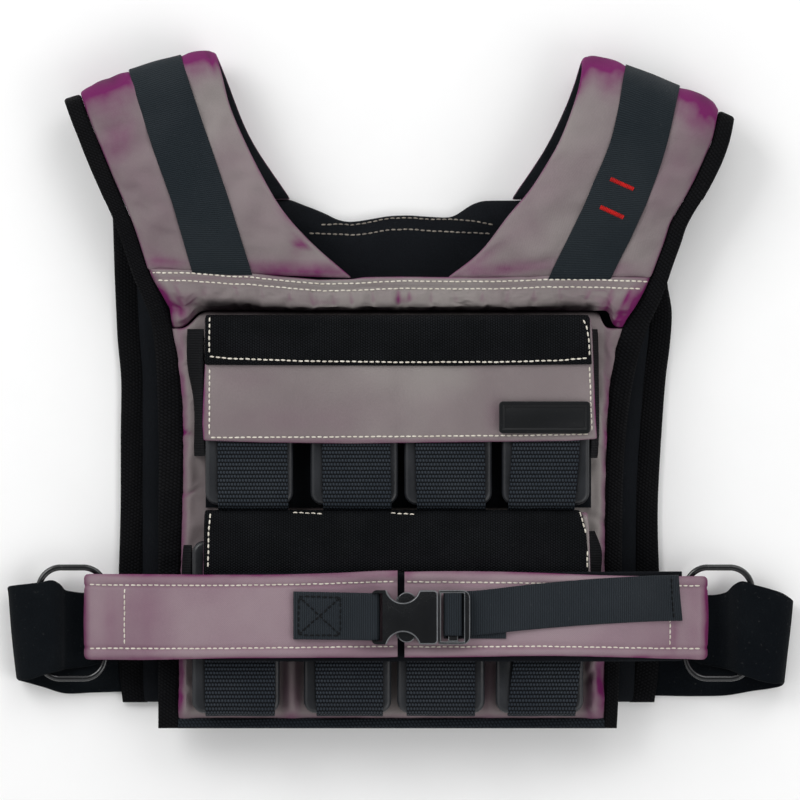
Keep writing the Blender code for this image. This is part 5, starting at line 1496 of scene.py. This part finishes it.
def makeBelt():
    for side, rows in belt.items():
        stops = []
        for k, (px, top, foot, z) in enumerate(rows):
            thick = 6.0 if k < 8 else (5.2 if k < len(rows) - 3 else 3.6)
            stops.append((seen(px, foot, z), seen(px, top, z), thick * mm))
        made = strip("belt" + side.capitalize(), stops, {
            "finish": beltCloth, "slot": "belt_cloth", "stands": ["belt_" + side], "columns": 44,
            # The tint is painted sheen and shade from the belt's marks
            "step": 0.0028, "lift": beltLift, "tint": lambda u, share, spot: paintedSheenAndShade(spot, beltMarks[side]),
            "flip": side == "right",
        })
    stops = [(seen(px, 661.2, z), seen(px, top, z), 0.002) for px, top, z in (
        (212, 573.5, 63.4), (300, 573.0, 63.4), (400, 572.6, 63.4), (520, 571.8, 63.4), (590, 571.6, 63.4),
        (604, 571.6, 61.6), (624, 571.5, 56.6), (642, 571.5, 47.0), (658, 571.5, 36.4), (682, 571.6, 22.0),
    )]
    made = strip("beltBacking", stops, {
        "finish": blackCloth, "slot": "black_cloth", "stands": ["belt_backing"], "columns": 20,
        "flip": True,
    })


makeBelt()
print("tabs, patch and belt made")

# Side-release buckle, millimetres from the line where the socket meets the plug
buckle = {
    "x": 40.0, "y": -125.5, "z": 77.5, "half": 21.7, "socketLong": 52.8, "socketThick": 12.0,
    "plugLong": 25.6, "plugThick": 5.6,
    "notchBack": 28.0, "notchRadius": 13.45, "notchDepth": 10.0, "webHalf": 19.3, "corner": 3.6,
    "thumbBack": 25.0, "thumbAway": 12.3, "thumbRadius": 7.8,
}


def combine(made, other, operation):
    apply(made, "BOOLEAN", operation=operation, solver="EXACT", object=other)
    bpy.data.objects.remove(other)


def buckleBlock(name, x1, x2, y1, y2, z1, z2):
    bx, by, bz = buckle["x"], buckle["y"], buckle["z"]
    return addBlock(name, (bx + x1, by + y1, bz + z1), (bx + x2, by + y2, bz + z2))


def buckleDisc(x, y, radius, thick, vertices):
    bpy.ops.object.select_all(action="DESELECT")
    spot = Vector((buckle["x"] + x, buckle["y"] + y, buckle["z"])) * mm
    bpy.ops.mesh.primitive_cylinder_add(
        vertices=vertices, radius=radius * mm, depth=thick * mm, location=spot,
    )
    return bpy.context.object


def carve(made, *corners):
    combine(made, buckleBlock("cutter", *corners), "DIFFERENCE")


def softened(made, width, first):
    # Bevels every corner that lies right of first, in the painted highlight finish
    made.data.materials.clear()
    for item in (bucklePlastic, buckleEdgeHighlight):
        made.data.materials.append(item)
    apply(made, "WELD", merge_threshold=0.05 * mm)
    apply(made, "DECIMATE", decimate_type="DISSOLVE", angle_limit=math.radians(1))
    bm = bmesh.new()
    bm.from_mesh(made.data)
    chosen = bm.edges.layers.float.new("bevel_weight_edge")
    for edge in bm.edges:
        sharp = edge.is_manifold and edge.calc_face_angle() > math.radians(38)
        if sharp and min(corner.co.x for corner in edge.verts) > (buckle["x"] + first) * mm:
            edge[chosen] = 1.0
    bm.to_mesh(made.data)
    bm.free()
    apply(
        made, "BEVEL", width=width * mm, segments=3, limit_method="WEIGHT", material=1,
        use_clamp_overlap=False,
    )


def makeSocket():
    half, web = buckle["half"], buckle["webHalf"]
    long, thick = buckle["socketLong"], buckle["socketThick"] / 2
    made = buckleBlock("buckleSocket", -long, 0, -half, half, -thick, thick)
    bevelUprights(made, lambda a: True, buckle["corner"], 5)
    away = half - buckle["notchDepth"] + buckle["notchRadius"]
    for side in (-1, 1):
        notch = buckleDisc(-buckle["notchBack"], side * away, buckle["notchRadius"], 40, 64)
        combine(made, notch, "DIFFERENCE")
    carve(made, -36, 10, -17.5, 17.5, -3.2, 3.2)
    carve(made, -long + 3.6, -long + 8.4, -web, web, -20, 20)
    carve(made, -long - 3, -long + 6, -web, web, 1.5, 20)
    carve(made, -long - 3, -long + 6, -web, web, -20, -1.5)
    softened(made, 1.15, -long + 8)
    hardPiece(made, bucklePlastic, "buckle_socket")


def makePlug():
    half, web = buckle["half"], buckle["webHalf"]
    long, thick = buckle["plugLong"], buckle["plugThick"] / 2
    made = buckleBlock("bucklePlug", 0.3, long, -half, half, -thick, thick)
    bevelUprights(made, lambda a: a.x > (buckle["x"] + long - 1) * mm, 6.0, 6)
    carve(made, 2.4, 8.0, -web, web, -20, 20)
    carve(made, 16.0, 20.8, -web, web, -20, 20)
    carve(made, 2.4, 20.8, -web, web, 0.56, 20)
    # Tongue and two spring arms that show in the socket's side notches
    for y1, y2, back in ((-3.0, 3.0, 26.0), (-16.6, -11.8, 33.0), (11.8, 16.6, 33.0)):
        arm = buckleBlock("arm", -back, 1.5, y1, y2, -2.4, 2.4)
        bevelUprights(arm, lambda a: a.x < (buckle["x"] - 20) * mm, 1.8, 4)
        combine(made, arm, "UNION")
    # Round thumb pads on the arms
    for way in (-1, 1):
        pad = buckleDisc(-buckle["thumbBack"], way * buckle["thumbAway"], buckle["thumbRadius"], 5.4, 48)
        combine(made, pad, "UNION")
    softened(made, 0.8, -long * 2)
    hardPiece(made, bucklePlastic, "buckle_plug")


def flatStops(path, top, foot):
    # Stops of webbing along X from (x, z) in millimetres, top and foot as functions of x
    thick = 1.55 * mm
    return [(Vector((x, foot(x), z)) * mm, Vector((x, top(x), z)) * mm, thick) for x, z in path]


def makeBuckleWebbing():
    # Out over the belt, round the socket's bar and back on top of itself
    path = [(-75.6, 71.85), (-55, 71.85), (-36, 71.85), (-23.9, 73.6)]
    for angle in range(-90, 91, 30):
        turned = math.radians(angle)
        path.append((-9.9 + 2.75 * math.cos(turned), 77.5 + 2.75 * math.sin(turned)))
    path += [(-14.3, 80.2), (-25.9, 77.3), (-35.9, 73.75), (-55, 73.65), (-75.6, 73.7)]
    stops = flatStops(path, lambda x: -104.9 - 0.02 * (x + 75), lambda x: -143.2 - 0.012 * (x + 75))
    made = strip("buckleWebbing", stops, {
        "finish": beltWebbing, "slot": "webbing", "stands": ["buckle_webbing"], "columns": 20, "step": 0.0016,
        "flip": True, "lift": ripple(-0.00012, 90, 80, 4),
    })


# The tail's path, along and up in millimetres: from under the plug round its bar, then over the belt
tailStart = [
    (94.4, 71.9), (70, 71.85), (50, 71.85), (45.9, 72.3), (45.2, 74), (45.2, 77.4), (45.9, 78.9),
    (48.5, 79.15), (55.5, 79.15), (57.9, 78.8), (58.4, 77.3), (58.5, 75.2), (59.2, 73.9), (61.5, 73.65),
    (80, 73.75), (100, 73.0), (112, 72.3),
]
tail = {"turn": 5, "above": 4.3, "joins": 118, "end": 233.5}


def makeTail():
    run = [((px - middlePx) * pixel, z) for px, _, _, z in belt["right"][2:11]]
    lifted = []
    for before, here, after in zip([(30, 67.8)] + run, run, run[1:]):
        slope = Vector((after[0] - before[0], after[1] - before[1])).normalized()
        lifted.append((here[0] - slope.y * tail["above"], here[1] + slope.x * tail["above"]))
    path = tailStart + [spot for spot in lifted if tail["joins"] < spot[0] < tail["end"] - 4]
    (ax, az), (bx, bz) = lifted[-2:]
    x, z = path[-1]
    path.append((tail["end"], z + (bz - az) / (bx - ax) * (tail["end"] - x)))

    def rise(x):
        # The loose length drifts up the belt, most of it early
        return 1 - (1 - min(1.0, max(0.0, (x - 69.6) / 163.2))) ** 1.7

    turn = tail["turn"]
    stops = flatStops(path[:turn], lambda x: -105.2, lambda x: -142.6)
    stops += flatStops(path[turn:], lambda x: -104.6 + 12.6 * rise(x), lambda x: -140.2 + 11.4 * rise(x))
    # The cut end lies askew
    left, right, thick = stops[-1]
    stops[-1] = (left + Vector((2.0, 0, -0.5)) * mm, right + Vector((-1.0, 0, 0.3)) * mm, thick)

    def lift(u, share, spot):
        return -0.0002 * wave(spot.x * 55, spot.y * 70, 2) - 0.0003 * bump(u, 0.5, 0.5)

    made = strip("buckleTail", stops, {
        "finish": beltWebbing, "slot": "webbing", "stands": ["buckle_tail"], "columns": 20, "step": 0.0015,
        "lift": lift, "swell": lambda u, share: 1.0 + 0.9 * smooth((share - 0.965) / 0.008), "flip": True,
    })


ring = {"wire": 5.0, "corner": 17.5}


def makeRing(side):
    low, high = (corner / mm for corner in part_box("ring_" + side))
    wide, corner = ring["wire"], ring["corner"]
    bpy.ops.object.select_all(action="DESELECT")
    bpy.ops.mesh.primitive_torus_add(
        major_radius=corner * mm, minor_radius=wide / 2 * mm, major_segments=48, minor_segments=20,
        rotation=(0, 0, math.radians(3.75)),
    )
    made = bpy.context.object
    made.name = "beltRing" + side.capitalize()
    bpy.ops.object.transform_apply(rotation=True)
    # Its four quarters move apart to the ring's own box
    for axis in (0, 1):
        reach = (high[axis] - low[axis] - wide) / 2 - corner
        for way in (-1, 1):
            choose(made, "VERT", lambda vert: vert.co[axis] * way > 0)
            move = [0, 0, 0]
            move[axis] = way * reach * mm
            bpy.ops.transform.translate(value=move)
            bpy.ops.object.mode_set(mode="OBJECT")
    made.location = (low + high) / 2 * mm
    bpy.ops.object.transform_apply(location=True)
    hardPiece(made, ringMetal, "ring_" + side, angle=60)


# Side straps in pixels: along, top edge, bottom edge, height; out from the back, round and over the ring
sideStraps = {
    "left": [
        (121, 593, 692.5, 1.6), (90, 593, 693.5, 1.6), (62, 593.5, 694, 1.7), (40, 592, 688, 1.9),
        (20, 590, 683, 2.7), (10.8, 588, 681, 6.5), (8.2, 587, 679.5, 11.4), (11, 586, 680, 16.8),
        (18, 585, 680.5, 20.0), (28, 584, 678, 21.0), (40, 582.5, 675, 20.9), (52, 580.5, 672.5, 19.4),
        (58.5, 584, 671.5, 15.5), (63.5, 590, 670, 9.5), (72, 592, 669, 5.8), (88, 594, 667, 5.0),
        (100, 596, 664, 4.9),
    ],
    "right": [
        (656, 600, 696.5, 1.6), (700, 600, 697, 1.6), (730, 600, 696, 1.7), (755, 600, 692, 1.9),
        (778, 600, 689, 2.7), (789.5, 600, 686.5, 6.5), (792.6, 600.5, 684, 11.4), (790, 598, 684, 17),
        (783, 593.5, 684, 20.4), (770, 589, 682, 21), (755, 585, 678, 21.0), (742, 581.5, 674.5, 19.8),
        (735, 585, 672, 15.5), (728, 592, 670, 9.5), (718, 595, 668, 5.8), (704, 596, 665, 5.0),
        (694, 598, 662, 4.9),
    ],
}


def makeSideStraps():
    for side, rows in sideStraps.items():
        inward = 10 if side == "left" else -10
        stops = []
        for k, (px, top, foot, z) in enumerate(rows):
            stops.append((seen(px + inward * bump(k, 7, 6), foot, z), seen(px, top, z), 0.0029))

        def lift(u, share, spot):
            loose = smooth(min(u, 1 - u) * 9) * smooth(share * 6)
            return -0.0005 * wave(spot.x * 48, spot.y * 36, 13) * loose

        made = strip("sideStrap" + side.capitalize(), stops, {
            "finish": napCloth, "slot": "hook_fabric", "stands": ["side_strap_" + side], "columns": 34,
            "step": 0.0022, "flip": side == "left", "lift": lift,
        })


makeSocket()
makePlug()
makeBuckleWebbing()
makeTail()
makeRing("left")
makeRing("right")
makeSideStraps()
print("buckle, rings and side straps made")

# Seams: stitches laid one by one on the piece that they are sewn through, sizes in millimetres
stitch = {
    "pitch": 4.7, "long": 3.8, "wide": 1.35, "thick": 0.9, "arch": 0.35, "slip": 0.30, "sides": 8,
    "rings": 6,
}
tackBars = {"count": 15, "half": 2.2}
threads = {"light": creamThread, "dusk": shadedCreamThread, "dark": darkThread, "red": redThread}


def tack(first, last):
    # A bar of short stitches side by side, between two places in pixels
    count = tackBars["count"]
    dx, dy = (last[0] - first[0]) / count, (last[1] - first[1]) / count
    scale = tackBars["half"] / math.hypot(dx, dy)
    rows = []
    for k in range(count + 1):
        x, y = first[0] + dx * k, first[1] + dy * k
        rows.append([(x + dy * scale, y - dx * scale), (x - dy * scale, y + dx * scale)])
    return rows


# Rows in pixels: piece, thread, then the points of each row
seams = {
    "Hem": ("chestBand", "light", [
        [
            (150, 272.5), (190, 273), (230, 276.5), (250, 277), (281, 280.5), (319, 284), (352, 283.5),
            (400, 281), (446, 281.5), (502, 281.5), (547, 279.5), (600, 280), (649, 281.5),
        ],
        [
            (152, 280), (190, 281), (230, 284), (250, 284.5), (281, 287.5), (319, 291), (352, 290.5),
            (400, 288.5), (446, 289), (502, 289), (547, 287), (600, 287.5), (647, 289),
        ],
    ]),
    "Neckline": ("backPanel", "dusk", [
        [
            (321, 224.5), (339, 223.5), (351, 225), (370, 222), (389, 218), (409, 217.5), (430, 219),
            (455, 219), (475, 221), (494, 224.5),
        ],
        [
            (309, 233), (343, 234), (352, 235), (370, 233), (389, 229.5), (409, 229), (430, 230.5),
            (450, 231.5), (491, 233.5),
        ],
    ]),
    "UpperBand": ("upperHookBand", "light", [
        [(210, 356.5), (230, 358.5), (300, 361), (400, 362.3), (500, 362), (560, 360.5), (588, 358)],
        [(583, 320), (586.5, 327), (588, 335), (589, 347), (589, 357)],
    ]),
    "UpperFlap": ("upperFlap", "light", [
        [(209.8, 369), (209.6, 400), (209.5, 436)],
        [(211, 437.5), (260, 437.3), (350, 436.8), (450, 436), (530, 435.2), (589, 434)],
        [(589.3, 367), (590.5, 400), (591.5, 431)],
    ]),
    "UpperBandEdge": ("upperHookBand", "light", [[(209.8, 317.5), (209.6, 335), (209.6, 354)]]),
    "LowerBand": ("lowerHookBand", "light", [
        [(210.6, 513.5), (209, 530), (208, 568)],
        [(579.5, 512), (585, 530), (587.2, 542), (587, 568)],
        [(293, 512.5), (323, 514)], [(391, 513), (416, 514.5)],
    ]),
    "BeltLeft": ("beltLeft", "light", [
        [(89.5, 584.5), (110, 585.3), (160, 585), (240, 585), (320, 583.5), (395, 581)],
        [(89.5, 648.7), (110, 648.5), (160, 648.5), (240, 648), (320, 647), (395, 646)],
        [(124.5, 589), (124.3, 618), (124.5, 645)],
    ]),
    "BeltRight": ("beltRight", "light", [
        [(407, 581.5), (470, 582), (540, 583), (600, 584.5), (660, 585.5), (701, 586)],
        [(407, 646.5), (470, 646.5), (540, 646), (600, 647), (660, 648.5), (701, 649)],
        [(670.5, 590), (670, 618), (670, 646)],
    ]),
    "WebbingBox": ("buckleWebbing", "dark", [
        [(299, 596), (340.5, 597), (340.5, 635), (298.5, 634.5), (299, 596), (340.5, 635)],
        [(298.5, 634.5), (340.5, 597)],
    ]),
    "RedTacks": ("shoulderWebbingRight", "red", tack((611, 179), (633, 189)) + tack((601, 207), (623, 217))),
    "TailHem": ("buckleTail", "dark", [[(671.5, 578.5), (672.5, 600), (674, 619)]]),
}


def stitchForm():
    # One stitch: a rounded grain of thread that bows up in its middle
    bpy.ops.mesh.primitive_uv_sphere_add(
        segments=stitch["sides"], ring_count=stitch["rings"], radius=1, rotation=(0, math.pi / 2, 0),
    )
    ball = bpy.context.object
    bpy.ops.object.transform_apply(rotation=True)
    corners = []
    for vertex in ball.data.vertices:
        x, y, z = vertex.co
        reach = math.copysign(abs(x) ** 0.75, x)
        up = z * stitch["thick"] / 2 + stitch["arch"] * (1 - reach * reach)
        corners.append((reach / 2, y * stitch["wide"] / 2, up, math.atan2(z, y)))
    faces = [tuple(face.vertices) for face in ball.data.polygons]
    bpy.data.objects.remove(ball)
    return corners, faces


def makeSeam(name, piece, finish, rows, form):
    corners, faces = form
    source = bpy.data.objects[piece].data
    tree = BVHTree.FromPolygons([v.co for v in source.vertices], [tuple(f.vertices) for f in source.polygons])
    bm = bmesh.new()
    uvLayer = bm.loops.layers.uv.new("UVMap")
    for row in rows:
        points = evenly([seen(px, py) for px, py in row], stitch["pitch"] * mm)
        for k, (a, b) in enumerate(zip(points, points[1:])):
            run = b - a
            side = Vector((-run.y, run.x, 0)).normalized()
            slip = stitch["slip"] * wave(k * 1.9, row[0][0] * 0.1, 3) * mm
            long = stitch["long"] * (1 + 0.10 * wave(k * 2.3, row[0][1] * 0.1, 5)) * mm
            a = a + side * slip
            b = a + run.normalized() * long - side * slip * 0.6
            hits = [tree.ray_cast(spot + Vector((0, 0, 0.3)), Vector((0, 0, -1))) for spot in (a, b)]
            if hits[0][0] is None or hits[1][0] is None:
                continue
            ahead = hits[1][0] - hits[0][0]
            across = (hits[0][1] + hits[1][1]).cross(ahead).normalized()
            up = ahead.cross(across).normalized()
            middle = (hits[0][0] + hits[1][0]) / 2
            placed = [bm.verts.new(middle + ahead * x + (across * y + up * z) * mm) for x, y, z, _ in corners]
            for face in faces:
                made = bm.faces.new([placed[i] for i in face])
                for loop, i in zip(made.loops, face):
                    loop[uvLayer].uv = (corners[i][0] * 3.0, corners[i][3] / math.pi)
    bmesh.ops.recalc_face_normals(bm, faces=bm.faces)
    finished("stitches" + name, bm, [finish], None)


def makeSeams():
    form = stitchForm()
    for name, (piece, thread, rows) in seams.items():
        makeSeam(name, piece, threads[thread], rows, form)


makeSeams()
print("seams made")
